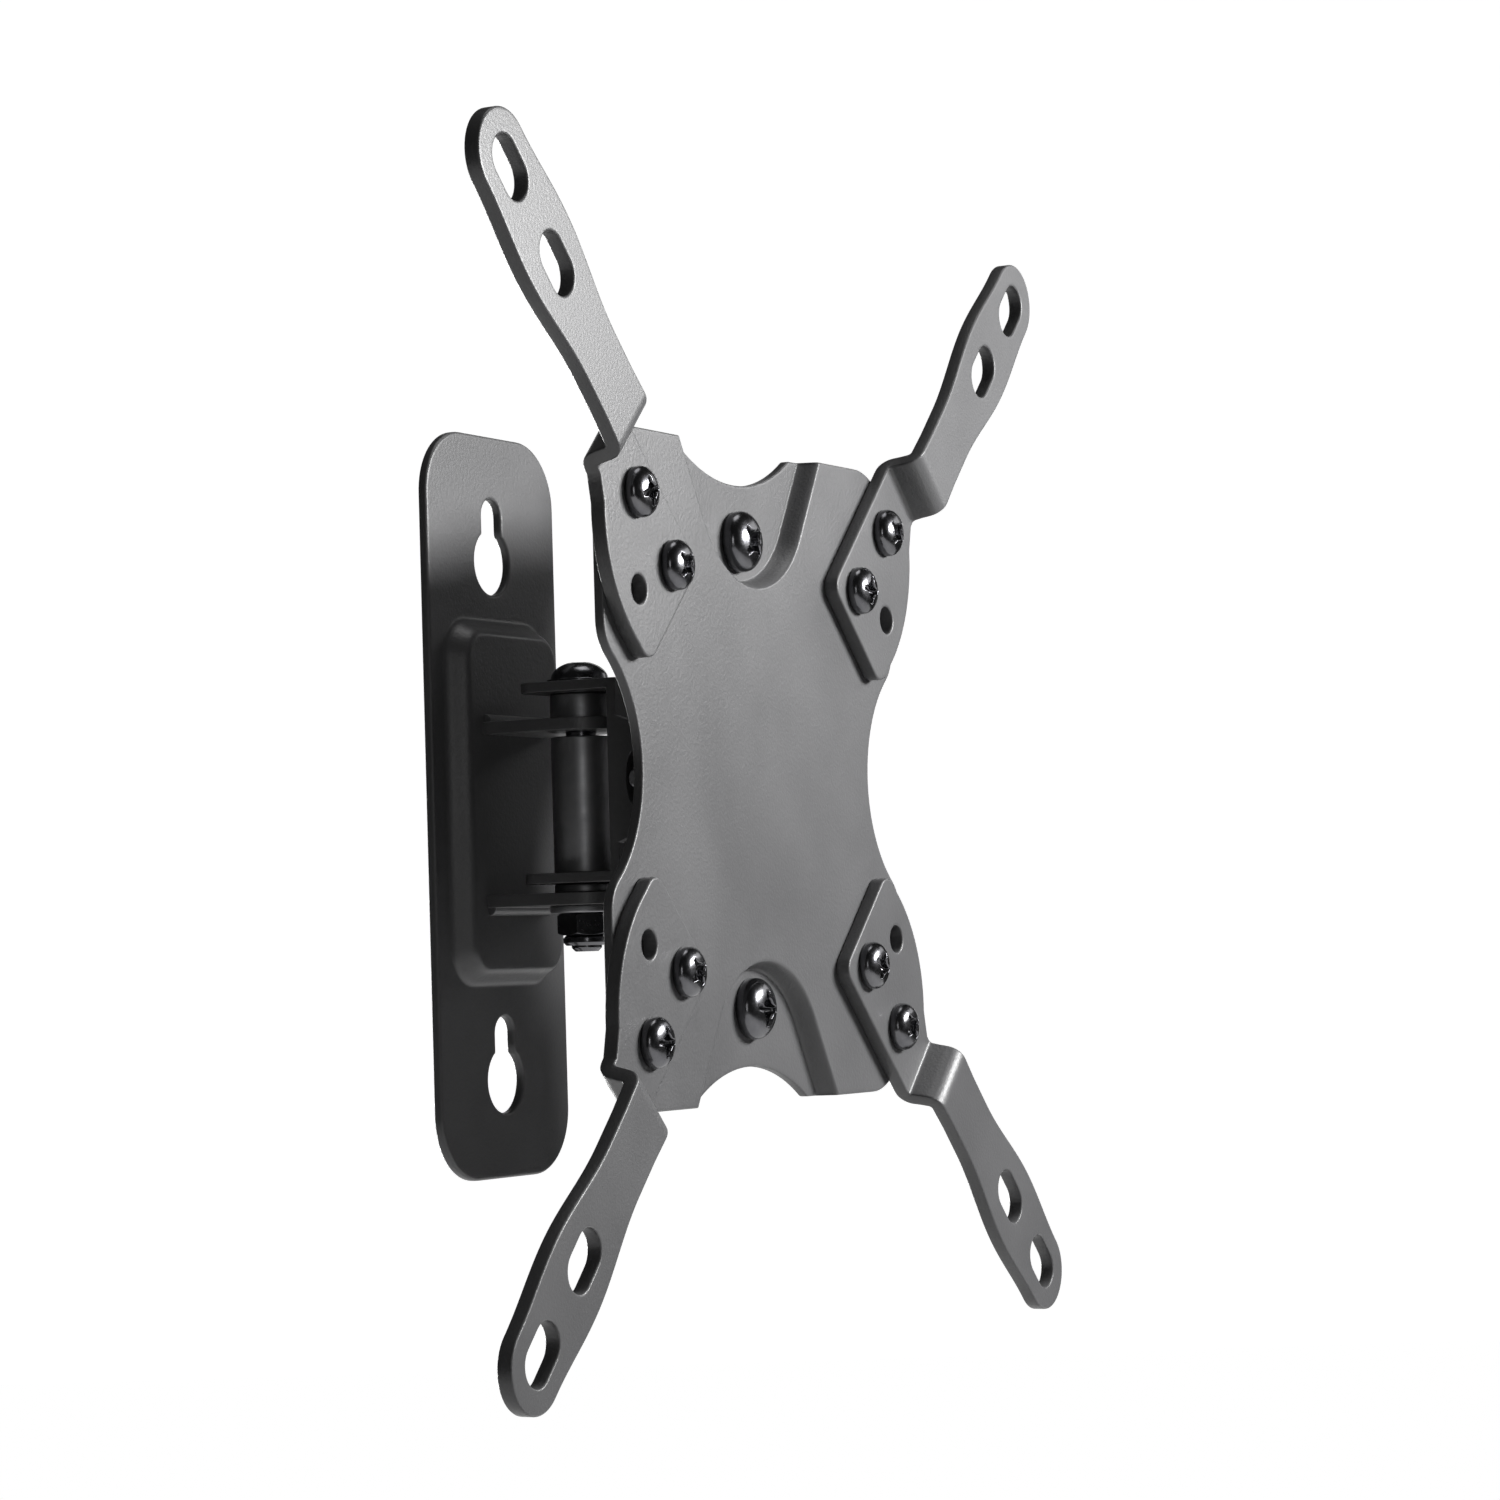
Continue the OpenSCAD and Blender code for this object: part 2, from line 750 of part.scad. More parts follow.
// Outline of the upper recess, open at the top edge; grow widens it
module recess_outline(grow) {
    r = recess_r + grow;
    centre = screws_apart / 2 + recess_ahead;
    top = tv_h / 2 + 2 * cut;
    flare = r * cos(30) + (top - centre + r * sin(30)) * tan(30);
    translate([0, centre])
        circle(r);
    polygon([[-r * cos(30), centre - r * sin(30)], [r * cos(30), centre - r * sin(30)],
        [flare, top], [-flare, top]]);
}

// Both recesses as solids with sloping walls, from depth y back to y + h
module recess_blocks(y, h, grow) {
    layer = cut / 100;
    for (m = [0, 1])
        mirror([0, 0, m])
            hull() {
                upright(y, layer)
                    recess_outline(grow);
                upright(y + h - layer, layer)
                    recess_outline(grow - recess_slope);
            }
}

// Places of the two screws of each foot along one diagonal
function foot_holes() = [for (k = [0, 1]) vesa_foot / 2 - k * foot_step / diagonal];

// Butterfly-shaped plate with a pressed recess for each plate screw
module tv_plate() {
    wall = tv_t * 0.9;
    color(plate_black)
        translate([0, 0, swivel_z])
            difference() {
                union() {
                    upright(tv_front, tv_t)
                        plate_outline();
                    intersection() {
                        upright(tv_front, tv_t + recess_depth)
                            plate_outline();
                        recess_blocks(tv_front, tv_t + recess_depth, wall + recess_slope / 3);
                    }
                }
                recess_blocks(tv_front, recess_depth, 0);
                upright(tv_front - cut, cut)
                    for (m = [0, 1])
                        mirror([0, m])
                            recess_outline(0);
                for (h = foot_holes(), x = [-1, 1], z = [-1, 1])
                    upright(tv_front - cut, tv_t + 2 * cut)
                        translate([x * h, z * h])
                            circle(d = screw_hole);
                for (z = [-1, 1])
                    upright(tv_front - cut, tv_t + recess_depth + 2 * cut)
                        translate([0, z * screws_apart / 2])
                            circle(d = bolt_hole);
            }
}

// One of the two screws that clamp the TV plate to the tilt bracket: s is 1 above, -1 below
module plate_screw(s) {
    color(screw_black)
        facing(0, tv_front + recess_depth, swivel_z + s * screws_apart / 2)
            rotate([0, 0, 20])
                pan_screw(bolt_d, plate_head_d, plate_head_h,
                    tv_t + tilt_t + plate_nut_h + thread_end);
}

module plate_nuts() {
    color(screw_black)
        for (s = [-1, 1])
            facing(0, strip_front + tilt_t, swivel_z + s * screws_apart / 2)
                rotate([180, 0, 0])
                    hex_nut(nut_w, plate_nut_h, bolt_d);
}

// Half of an arm's width at the distance u from its foot's outer screw
function arm_half(u) =
    let (neck_at = bend_at + bend_run + 14, wide_at = outer_slot_at - 0.8 * slot_step,
        tip_at = outer_slot_at + tip_reach, neck = arm_w / 2 - 0.3, wide = arm_end_w / 2)
    u < neck_at ? arm_w / 2 - 0.3 * max(0, min(1, (u - bend_at - bend_run) / 6))
    : u < wide_at ? neck + (wide - neck) * (1 - cos(180 * (u - neck_at) / (wide_at - neck_at))) / 2
    : tip_r + (wide - tip_r) * (1 + cos(180 * (u - wide_at) / (tip_at - wide_at))) / 2;

// Outline of an arm: X runs outwards along the diagonal from the foot's outer screw
module arm_outline() {
    tip_at = outer_slot_at + tip_reach;
    start = bend_at + bend_run / 2;
    stations = [for (i = [0 : 22]) start + (tip_at - start) * i / 22];
    half = foot_w / 2;
    curve_end = foot_curve_at - [foot_curve_r * sin(5), foot_curve_r * cos(5)];
    polygon(concat(
        [[-foot_end_at + 3, half], [bend_at - 1, half]],
        [for (u = stations) [u, arm_half(u)]],
        arc(tip_at, 0, tip_r, 90, -90),
        [for (i = [22 : -1 : 0]) [stations[i], -arm_half(stations[i])]],
        [[bend_at - 1, -half]],
        arc(foot_curve_at[0], foot_curve_at[1], foot_curve_r, -43, -95),
        arc(foot_tip_r - foot_end_at, curve_end[1] + foot_tip_r, foot_tip_r, -90, -180, 6),
        arc(3 - foot_end_at, half - 3, 3, 180, 90, 5)));
}

// One face of an arm along its length; side is 1 for the front and -1 for the back
function arm_face(side) =
    let (h = side * arm_t / 2, mid = arm_t / 2, top_at = bend_at + bend_run)
    concat(
        [[-foot_end_at - cut, mid + h]],
        arc(bend_at, mid + bend_mid_r, bend_mid_r - h, -90, -90 + bend_a, 8),
        arc(top_at, mid + arm_rise - bend_mid_r, bend_mid_r + h, 90 + bend_a, 90, 8),
        [[outer_slot_at + tip_reach + arm_end_w, mid + arm_rise + h]]);

// Side profile of an arm: X along the diagonal, Y forward from the back of the foot
module arm_profile() {
    back = arm_face(-1);
    polygon(concat(arm_face(1), [for (i = [len(back) - 1 : -1 : 0]) back[i]]));
}

// An obround slot along X, centred
module slot_outline() {
    square([slot_l - slot_w, slot_w], center = true);
    for (x = [-1, 1])
        translate([x * (slot_l - slot_w) / 2, 0])
            circle(d = slot_w);
}

// The right-hand upper arm, drawn flat on X and Y with its front towards +Z
module flat_arm() {
    height = arm_rise + arm_t + 2 * cut;
    difference() {
        intersection() {
            linear_extrude(height)
                arm_outline();
            translate([0, 2 * arm_w, 0])
                rotate([90, 0, 0])
                    linear_extrude(4 * arm_w)
                        arm_profile();
        }
        translate([0, 0, -cut])
            linear_extrude(height + cut) {
                for (p = [[0, 0], [-foot_step, 0], [-side_hole, -side_hole]])
                    translate(p)
                        circle(d = screw_hole);
                for (x = [outer_slot_at, outer_slot_at - slot_step])
                    translate([x, 0])
                        slot_outline();
            }
    }
}

// Puts an arm on the TV plate: sx and sz are the signs of its corner
module arm(sx, sz) {
    color(plate_black)
        translate([0, 0, swivel_z])
            mirror([sx < 0 ? 1 : 0, 0, 0])
                mirror([0, 0, sz < 0 ? 1 : 0])
                    translate([vesa_foot / 2, tv_front, vesa_foot / 2])
                        rotate([90, 0, 0])
                            rotate([0, 0, 45])
                                flat_arm();
}

// The two screws of one foot, each turned by its own angle
module arm_screws(sx, sz) {
    color(screw_black)
        for (k = [0, 1])
            facing(sx * foot_holes()[k], foot_front, swivel_z + sz * foot_holes()[k])
                rotate([0, 0, 25 + 33 * k + 17 * sx + 8 * sz])
                    pan_screw(screw_d, screw_head_d, screw_head_h,
                        arm_t + tv_t + arm_nut_h + arm_thread_end);
}

// The two round weld nuts on the TV plate's back behind one foot
module arm_nuts(sx, sz) {
    color(screw_black)
        for (h = foot_holes())
            facing(sx * h, tv_back, swivel_z + sz * h)
                ring(arm_nut_d, screw_d, -arm_nut_h, 0);
}

wall_plate();
wall_bracket();
pivot_bolt();
upper_bush();
pivot_sleeve();
spacer_washer();
pivot_washer();
pivot_lock_nut();
pivot_nut_ring();
swivel_bracket();
tilt_bolt();
tilt_washers();
friction_washers();
tilt_spacer();
tilt_lock_nut();
tilt_nut_ring();
tilt_bracket();
tilt_guide_pin();
tv_plate();
plate_screw(1);  // plate_screw_upper
plate_screw(-1);  // plate_screw_lower
plate_nuts();
arm(-1, 1);  // arm_top_left
arm(1, 1);  // arm_top_right
arm(-1, -1);  // arm_bottom_left
arm(1, -1);  // arm_bottom_right
arm_screws(-1, 1);  // arm_screws_top_left
arm_screws(1, 1);  // arm_screws_top_right
arm_screws(-1, -1);  // arm_screws_bottom_left
arm_screws(1, -1);  // arm_screws_bottom_right
arm_nuts(-1, 1);  // arm_nuts_top_left
arm_nuts(1, 1);  // arm_nuts_top_right
arm_nuts(-1, -1);  // arm_nuts_bottom_left
arm_nuts(1, -1);  // arm_nuts_bottom_right
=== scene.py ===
"""Looks of a tilting and swivelling wall mount for a small television.

Each sub-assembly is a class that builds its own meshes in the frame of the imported
model and dresses them in its finishes. Lengths are millimetres, and those of the
studio are metres.
"""

import json
import logging
import math
from dataclasses import dataclass, field
from enum import Enum
from typing import Callable, Sequence

import bmesh
import bpy
import numpy as np
from mathutils import Matrix, Vector
from mathutils.geometry import delaunay_2d_cdt

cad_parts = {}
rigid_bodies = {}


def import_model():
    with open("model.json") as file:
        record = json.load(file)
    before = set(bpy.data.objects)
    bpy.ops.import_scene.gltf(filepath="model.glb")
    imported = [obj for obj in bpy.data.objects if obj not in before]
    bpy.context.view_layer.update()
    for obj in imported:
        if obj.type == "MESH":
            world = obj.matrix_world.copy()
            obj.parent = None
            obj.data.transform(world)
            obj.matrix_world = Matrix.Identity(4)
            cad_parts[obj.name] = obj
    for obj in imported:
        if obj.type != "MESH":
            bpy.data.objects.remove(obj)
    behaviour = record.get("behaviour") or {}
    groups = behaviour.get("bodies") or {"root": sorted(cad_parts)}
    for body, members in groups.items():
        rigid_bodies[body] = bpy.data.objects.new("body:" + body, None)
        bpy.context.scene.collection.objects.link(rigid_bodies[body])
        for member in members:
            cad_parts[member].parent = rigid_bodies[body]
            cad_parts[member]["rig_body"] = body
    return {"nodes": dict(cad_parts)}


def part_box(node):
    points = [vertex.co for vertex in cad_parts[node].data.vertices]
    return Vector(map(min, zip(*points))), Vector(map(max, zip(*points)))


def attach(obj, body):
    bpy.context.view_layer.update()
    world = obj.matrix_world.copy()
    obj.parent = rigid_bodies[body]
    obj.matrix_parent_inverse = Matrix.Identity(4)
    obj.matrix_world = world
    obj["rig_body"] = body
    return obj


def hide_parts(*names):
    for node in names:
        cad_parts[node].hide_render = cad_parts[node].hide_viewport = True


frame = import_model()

LOG = logging.getLogger("wall_mount")
MM = 0.001
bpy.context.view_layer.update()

Loop = np.ndarray
Points = list[tuple[float, float]]
Surface = Callable[[np.ndarray], np.ndarray]

# Pitches of the two square screw patterns on a television's back, and the distance
# between the two screws of an arm's foot.
INNER_PITCH = 100.0
OUTER_PITCH = 200.0
SCREW_STEP = 17.7
# Threads of the arms' screws and of the larger bolts, and the holes that they pass.
SCREW_D = 5.0
SCREW_HOLE = 5.5
BOLT_D = 6.0
BOLT_HOLE = 6.5

# Points of a loop that lie closer than this are one point.
SAME_POINT = 1e-4
# Points closer than this are joined where a region is cut into triangles.
CUT_GAP = 1e-6
# Stands for the rise of a level side, which a level ray never crosses.
LEVEL_RISE = 1e-12
# Least cosine that a corner's mitre is worked out with.
SHARPEST_MITRE = 0.6


class Body(Enum):
    """The rigid bodies that pieces ride on."""

    WALL = "wall_side"
    SWIVEL = "swivel_side"
    TV = "tv_side"


class Slot(Enum):
    """The material slots of the record."""

    POWDER_COAT = "black_powder_coat"
    OXIDE = "black_oxide_steel"
    NICKEL = "black_nickel"
    NYLON = "black_nylon"


# ---------------------------------------------------------------------------
# Flat geometry


def arc(x: float, y: float, r: float, start: float, end: float, steps: int) -> Points:
    """Points along an arc.

    Args:
        x, y: centre.
        r: radius.
        start, end: angles in degrees.
        steps: number of sides.

    Returns:
        List of (x, y) points, both ends included.
    """
    angles = (math.radians(start + (end - start) * i / steps) for i in range(steps + 1))
    return [(x + r * math.cos(a), y + r * math.sin(a)) for a in angles]


def circle(x: float, y: float, r: float, steps: int) -> Loop:
    """A closed circle, counter-clockwise."""
    return np.array(arc(x, y, r, 0, 360, steps)[:-1])


def rounded_rect(x: float, y: float, w: float, h: float, r: float, steps: int) -> Loop:
    """A rectangle with rounded corners, counter-clockwise.

    Args:
        x, y: centre.
        w, h: width and height.
        r: corner radius.
        steps: sides of each corner.

    Returns:
        The closed loop.
    """
    points = []
    for k, (sx, sy) in enumerate(((1, 1), (-1, 1), (-1, -1), (1, -1))):
        points += arc(x + sx * (w / 2 - r), y + sy * (h / 2 - r), r, 90 * k, 90 * k + 90, steps)
    return np.array(points)


def obround(x: float, y: float, length: float, width: float, steps: int) -> Loop:
    """A slot with round ends along X, counter-clockwise.

    Args:
        x, y: centre.
        length, width: its sizes over all.
        steps: sides of each end.

    Returns:
        The closed loop.
    """
    reach = (length - width) / 2
    return np.array(arc(x + reach, y, width / 2, -90, 90, steps)
                    + arc(x - reach, y, width / 2, 90, 270, steps))


def spread(loop: Loop, step: float) -> Loop:
    """Adds points to a closed loop so that no side is longer than a step.

    Args:
        loop: the points.
        step: the longest side.

    Returns:
        The loop with its added points.
    """
    out = []
    for a, b in zip(loop, np.roll(loop, -1, axis=0)):
        n = max(1, math.ceil(float(np.hypot(*(b - a))) / step))
        out += [a + (b - a) * i / n for i in range(n)]
    return np.array(out)


def clean(loop: Loop) -> Loop:
    """Drops points of a closed loop that repeat the one before."""
    gap = np.hypot(*(loop - np.roll(loop, 1, axis=0)).T)
    return loop[gap > SAME_POINT]


def offset(loop: Loop, distance: float) -> Loop:
    """Moves a closed counter-clockwise loop outwards.

    Args:
        loop: the points.
        distance: how far, negative for inwards.

    Returns:
        The moved loop, with as many points.
    """
    before = loop - np.roll(loop, 1, axis=0)
    after = np.roll(loop, -1, axis=0) - loop
    sides = []
    for edge in (before, after):
        edge = edge / np.hypot(*edge.T)[:, None]
        sides.append(np.column_stack((edge[:, 1], -edge[:, 0])))
    middle = sides[0] + sides[1]
    middle /= np.hypot(*middle.T)[:, None]
    stretch = 1 / np.maximum(SHARPEST_MITRE, (middle * sides[0]).sum(axis=1))
    return loop + middle * (distance * stretch)[:, None]


def inside(points: np.ndarray, loop: Loop) -> np.ndarray:
    """Says which points lie inside a closed loop.

    Args:
        points: rows of (x, y).
        loop: the closed loop.

    Returns:
        One truth value for each point.
    """
    x, y = points[:, :1], points[:, 1:]
    (x0, y0), (x1, y1) = loop.T, np.roll(loop, -1, axis=0).T
    rise = np.where(y1 == y0, LEVEL_RISE, y1 - y0)
    hits = ((y0 > y) != (y1 > y)) & (x < (x1 - x0) * (y - y0) / rise + x0)
    return hits.sum(axis=1) % 2 == 1


def depth_inside(points: np.ndarray, loop: Loop) -> np.ndarray:
    """Measures how deep points lie inside a closed loop.

    Args:
        points: rows of (x, y).
        loop: the closed loop.

    Returns:
        Each point's distance from the loop, positive inside it.
    """
    a, b = loop[None], np.roll(loop, -1, axis=0)[None]
    p = points[:, None]
    along = ((p - a) * (b - a)).sum(axis=2) / ((b - a) ** 2).sum(axis=2)
    near = a + (b - a) * np.clip(along, 0, 1)[..., None]
    gap = np.sqrt(((p - near) ** 2).sum(axis=2)).min(axis=1)
    return np.where(inside(points, loop), gap, -gap)


def ease(t: np.ndarray | float) -> np.ndarray:
    """Rises from 0 to 1 with level ends, for t from 0 to 1."""
    return (1 - np.cos(np.pi * np.clip(t, 0, 1))) / 2


def pressed_wall(t: np.ndarray, lip: float, root: float) -> np.ndarray:
    """Rises from 0 to 1 along a straight wall with a rounded bend at each end.

    Args:
        t: place along the wall's run, from 0 to 1.
        lip, root: shares of the run that the first and the last bend take.

    Returns:
        The heights.
    """
    t = np.clip(t, 0, 1)
    slope = 1 / (1 - (lip + root) / 2)
    first, last = slope * t ** 2 / (2 * lip), 1 - slope * (1 - t) ** 2 / (2 * root)
    return np.where(t < lip, first, np.where(t > 1 - root, last, slope * (t - lip / 2)))


# ---------------------------------------------------------------------------
# Mesh geometry


@dataclass
class Patch:
    """A flat region cut into triangles, with the loops of its border.

    Attributes:
        edge: the outer loop, counter-clockwise.
        holes: loops of the openings, counter-clockwise.
        closed: closed loops that the triangles follow.
        lines: open lines that the triangles follow.
        dots: single points that the triangles use.
        points, faces: what the region is cut into.
        borders: loops of point indices round the region and its openings.
    """

    edge: Loop
    holes: Sequence[Loop] = ()
    closed: Sequence[Loop] = ()
    lines: Sequence[Loop] = ()
    dots: np.ndarray | None = None

    def __post_init__(self) -> None:
        """Cuts the region and finds its border."""
        points, sides = [], []
        chains = [(loop, True) for loop in (self.edge, *self.holes, *self.closed)]
        chains += [(line, False) for line in self.lines]
        for chain, closed in chains:
            first, count = len(points), len(chain)
            points += list(chain)
            sides += [(first + i, first + (i + 1) % count)
                      for i in range(count if closed else count - 1)]
        if self.dots is not None:
            points += list(self.dots)
        vectors = [Vector((float(p[0]), float(p[1]))) for p in points]
        cut = delaunay_2d_cdt(vectors, sides, [], 0, CUT_GAP, False)
        self.points = np.array([tuple(v) for v in cut[0]])
        faces = np.array([tuple(f) for f in cut[2]])
        a, b, c = (self.points[faces[:, k]] for k in range(3))
        middle = (a + b + c) / 3
        keep = inside(middle, self.edge)
        for hole in self.holes:
            keep &= ~inside(middle, hole)
        (abx, aby), (acx, acy) = (b - a).T, (c - a).T
        clockwise = abx * acy - aby * acx < 0
        faces[clockwise] = faces[clockwise][:, ::-1]
        used, self.faces = np.unique(faces[keep], return_inverse=True)
        self.faces = self.faces.reshape(-1, 3)
        self.points = self.points[used]
        self.borders = self._find_borders()

    def _find_borders(self) -> list[list[int]]:
        """Follows the sides that only one triangle has.

        Returns:
            The loops of point indices, in the triangles' own direction.
        """
        halves = {(int(f[i]), int(f[(i + 1) % 3])) for f in self.faces for i in range(3)}
        ahead = {a: b for a, b in halves if (b, a) not in halves}
        loops = []
        while ahead:
            start, at = next(iter(ahead.items()))
            loop = [start]
            del ahead[start]
            while at != start:
                loop.append(at)
                at = ahead.pop(at)
            loops.append(loop)
        return loops

    def border_normals(self, loop: list[int]) -> np.ndarray:
        """Directions away from the region at each point of a border."""
        ring = self.points[loop]
        return offset(ring, 1.0) - ring


@dataclass
class Shell:
    """Collects rows of points and faces, and makes a smooth-shaded mesh of them.

    Attributes:
        verts: the points.
        faces: the faces, as tuples of point indices.
    """

    verts: list[tuple[float, float, float]] = field(default_factory=list)
    faces: list[tuple[int, ...]] = field(default_factory=list)

    def add_points(self, points: np.ndarray) -> list[int]:
        """Adds points.

        Args:
            points: rows of (x, y, z).

        Returns:
            Their indices.
        """
        first = len(self.verts)
        self.verts += [tuple(p) for p in points]
        return list(range(first, len(self.verts)))

    def join_rows(self, upper: Sequence[int], lower: Sequence[int]) -> None:
        """Joins two closed rows with quads.

        Args:
            upper, lower: point indices of the rows, as many in each.
        """
        count = len(upper)
        for i in range(count):
            j = (i + 1) % count
            self.faces.append((upper[j], upper[i], lower[i], lower[j]))

    def mesh(self, name: str) -> bpy.types.Mesh:
        """Makes the mesh, in metres.

        Args:
            name: the mesh's name.

        Returns:
            The new mesh.
        """
        mesh = bpy.data.meshes.new(name)
        mesh.from_pydata([(x * MM, y * MM, z * MM) for x, y, z in self.verts], [], self.faces)
        mesh.shade_smooth()
        mesh.validate()
        return mesh


@dataclass
class Sheet:
    """A pressed sheet of metal that stands upright, with rounded edges and holes.

    Attributes:
        outline: its outer loop seen from the front, X and Z.
        holes: loops of its holes.
        front, back: depths of its two faces over (X, Z) points.
        creases: lines along which its faces curve.
        rim: radius of its broken edges.
        rim_steps: sides of that radius.
        guard: width of the narrow band of its faces that follows each edge.
    """

    outline: Loop
    holes: Sequence[Loop]
    front: Surface
    back: Surface
    creases: Sequence[Loop]
    rim: float
    rim_steps: int = 4
    guard: float = 0.35

    def shell(self) -> Shell:
        """Builds both faces and the rounded edges between them.

        Returns:
            The closed shell.
        """
        band = self.rim + self.guard
        edge = offset(self.outline, -self.rim)
        holes = [offset(hole, self.rim) for hole in self.holes]
        guards = [offset(self.outline, -band)] + [offset(hole, band) for hole in self.holes]
        patch = Patch(edge, holes, guards, self.creases)
        shell = Shell()
        x, z = patch.points.T
        front, back = self.front(patch.points), self.back(patch.points)
        near = shell.add_points(np.column_stack((x, front, z)))
        far = shell.add_points(np.column_stack((x, back, z)))
        shell.faces += [tuple(near[i] for i in face) for face in patch.faces.tolist()]
        shell.faces += [tuple(far[i] for i in face[::-1]) for face in patch.faces.tolist()]
        turns = [math.pi / 2 * k / self.rim_steps for k in range(1, self.rim_steps + 1)]
        for loop in patch.borders:
            ring, out = patch.points[loop], patch.border_normals(loop)
            rows = [[near[i] for i in loop]]
            for face, sign, order in ((front, 1, turns), (back, -1, turns[::-1])):
                for turn in order:
                    place = ring + out * self.rim * math.sin(turn)
                    depth = face[loop] + sign * self.rim * (1 - math.cos(turn))
                    rows.append(shell.add_points(
                        np.column_stack((place[:, 0], depth, place[:, 1]))))
            rows.append([far[i] for i in loop])
            for upper, lower in zip(rows, rows[1:]):
                shell.join_rows(upper, lower)
        return shell


def bend_shell(shell: Shell, path: Callable[[np.ndarray, np.ndarray], tuple]) -> None:
    """Bends a flat shell along X.

    Args:
        shell: the shell, changed in place.
        path: gives new (X, Y) for the old X and Y of all its points.
    """
    points = np.array(shell.verts)
    x, y = path(points[:, 0], points[:, 1])
    shell.verts = [tuple(p) for p in np.column_stack((x, y, points[:, 2]))]


def level(y: float) -> Surface:
    """A flat face at depth y."""
    return lambda points: np.full(len(points), y)


# ---------------------------------------------------------------------------
# Finishes

# Noise gathers round one half: the parts of its span that drive colour and roughness.
COLOUR_SPAN = (0.35, 0.65)
ROUGH_SPAN = (0.3, 0.7)
# Octaves of the slow drift over a piece and of its fine grain.
CLOUD_DETAIL = 3.0
GRAIN_DETAIL = 2.0
# Places of a colour mix's sockets, whose names repeat.
MIX_SHARE, MIX_FIRST, MIX_SECOND, MIX_RESULT = 0, 6, 7, 2
# Places of a shader mix's sockets.
SHARE, FIRST, SECOND = 0, 1, 2


def linear(hex_colour: str) -> tuple[float, float, float, float]:
    """Turns an sRGB hex colour into linear RGBA.

    Args:
        hex_colour: such as "#2a2b2c".

    Returns:
        Red, green, blue and an alpha of 1.
    """
    values = [int(hex_colour[i:i + 2], 16) / 255 for i in (1, 3, 5)]
    out = [v / 12.92 if v <= 0.04045 else ((v + 0.055) / 1.055) ** 2.4 for v in values]
    return (*out, 1.0)


def empty_tree(owner: bpy.types.Material | bpy.types.World) -> bpy.types.NodeTree:
    """Clears the nodes of a material or a world.

    Args:
        owner: the material or the world.

    Returns:
        Its node tree.
    """
    owner.use_nodes = True
    owner.node_tree.nodes.clear()
    return owner.node_tree


def add_node(tree: bpy.types.NodeTree, kind: str, inputs: dict | None = None,
             **settings: object) -> bpy.types.Node:
    """Adds a node with its settings and links.

    Args:
        tree: the node tree.
        kind: Blender's node type name.
        inputs: by input name or place, a value, a source socket, or a source node whose
            first output is meant.
        settings: properties of the node.

    Returns:
        The new node.
    """
    node = tree.nodes.new(kind)
    for name, value in settings.items():
        setattr(node, name, value)
    for key, value in (inputs or {}).items():
        if isinstance(value, bpy.types.Node):
            value = value.outputs[0]
        if isinstance(value, bpy.types.NodeSocket):
            tree.links.new(value, node.inputs[key])
        else:
            node.inputs[key].default_value = value
    return node


@dataclass(frozen=True)
class Finish:
    """What every finish has: a name, two close colours and how rough it is.

    Attributes:
        name: the material's name.
        slot: the record's slot that it belongs to; it is not used.
        colour, tint: its colour and the colour that it drifts to.
        roughness: middle roughness.
        roughness_drift: how far roughness drifts either way.
        metallic: 1 for plated metal, less for a coat over it.
        grain: size of its surface grain in millimetres.
        grain_height: height of the grain in millimetres.
        cloud: size of the colour drift in millimetres.
    """

    name: str
    slot: Slot
    colour: str
    tint: str
    roughness: float
    roughness_drift: float
    metallic: float
    grain: float
    grain_height: float
    cloud: float

    def material(self) -> bpy.types.Material:
        """Makes the material, unless it is made already.

        Returns:
            The material.
        """
        known = bpy.data.materials.get(self.name)
        if known:
            return known
        material = bpy.data.materials.new(self.name)
        tree = empty_tree(material)
        place = add_node(tree, "ShaderNodeTexCoord").outputs["Object"]
        cloud = add_node(tree, "ShaderNodeTexNoise",
                         {"Vector": place, "Scale": 1 / (self.cloud * MM),
                          "Detail": CLOUD_DETAIL})
        grain = self.grain_node(tree, place)
        drift = self.roughness_drift
        tone, broad, fine = (
            add_node(tree, "ShaderNodeMapRange",
                     {"Value": source, "From Min": low, "From Max": high,
                      "To Min": start, "To Max": end})
            for source, (low, high), start, end in (
                (cloud, COLOUR_SPAN, 0.0, 1.0),
                (cloud, ROUGH_SPAN, self.roughness - drift, self.roughness + drift),
                (grain, ROUGH_SPAN, -drift, drift)))
        colour = add_node(tree, "ShaderNodeMix",
                          {MIX_SHARE: tone, MIX_FIRST: linear(self.colour),
                           MIX_SECOND: linear(self.tint)}, data_type="RGBA")
        rough = add_node(tree, "ShaderNodeMath", {0: broad, 1: fine}, operation="ADD")
        bump = add_node(tree, "ShaderNodeBump", {"Height": grain, "Strength": 1.0,
                                                 "Distance": self.grain_height * MM})
        shader = add_node(tree, "ShaderNodeBsdfPrincipled",
                          {"Base Color": colour.outputs[MIX_RESULT], "Roughness": rough,
                           "Metallic": self.metallic, "Normal": bump})
        add_node(tree, "ShaderNodeOutputMaterial", {"Surface": shader})
        return material

    def grain_node(self, tree: bpy.types.NodeTree,
                   place: bpy.types.NodeSocket | bpy.types.Node) -> bpy.types.Node:
        """Adds the surface's own fine pattern.

        Args:
            tree: the material's node tree.
            place: source of the position.

        Returns:
            The node, whose first output runs from 0 to 1.
        """
        return add_node(tree, "ShaderNodeTexNoise",
                        {"Vector": place, "Scale": 1 / (self.grain * MM),
                         "Detail": GRAIN_DETAIL})


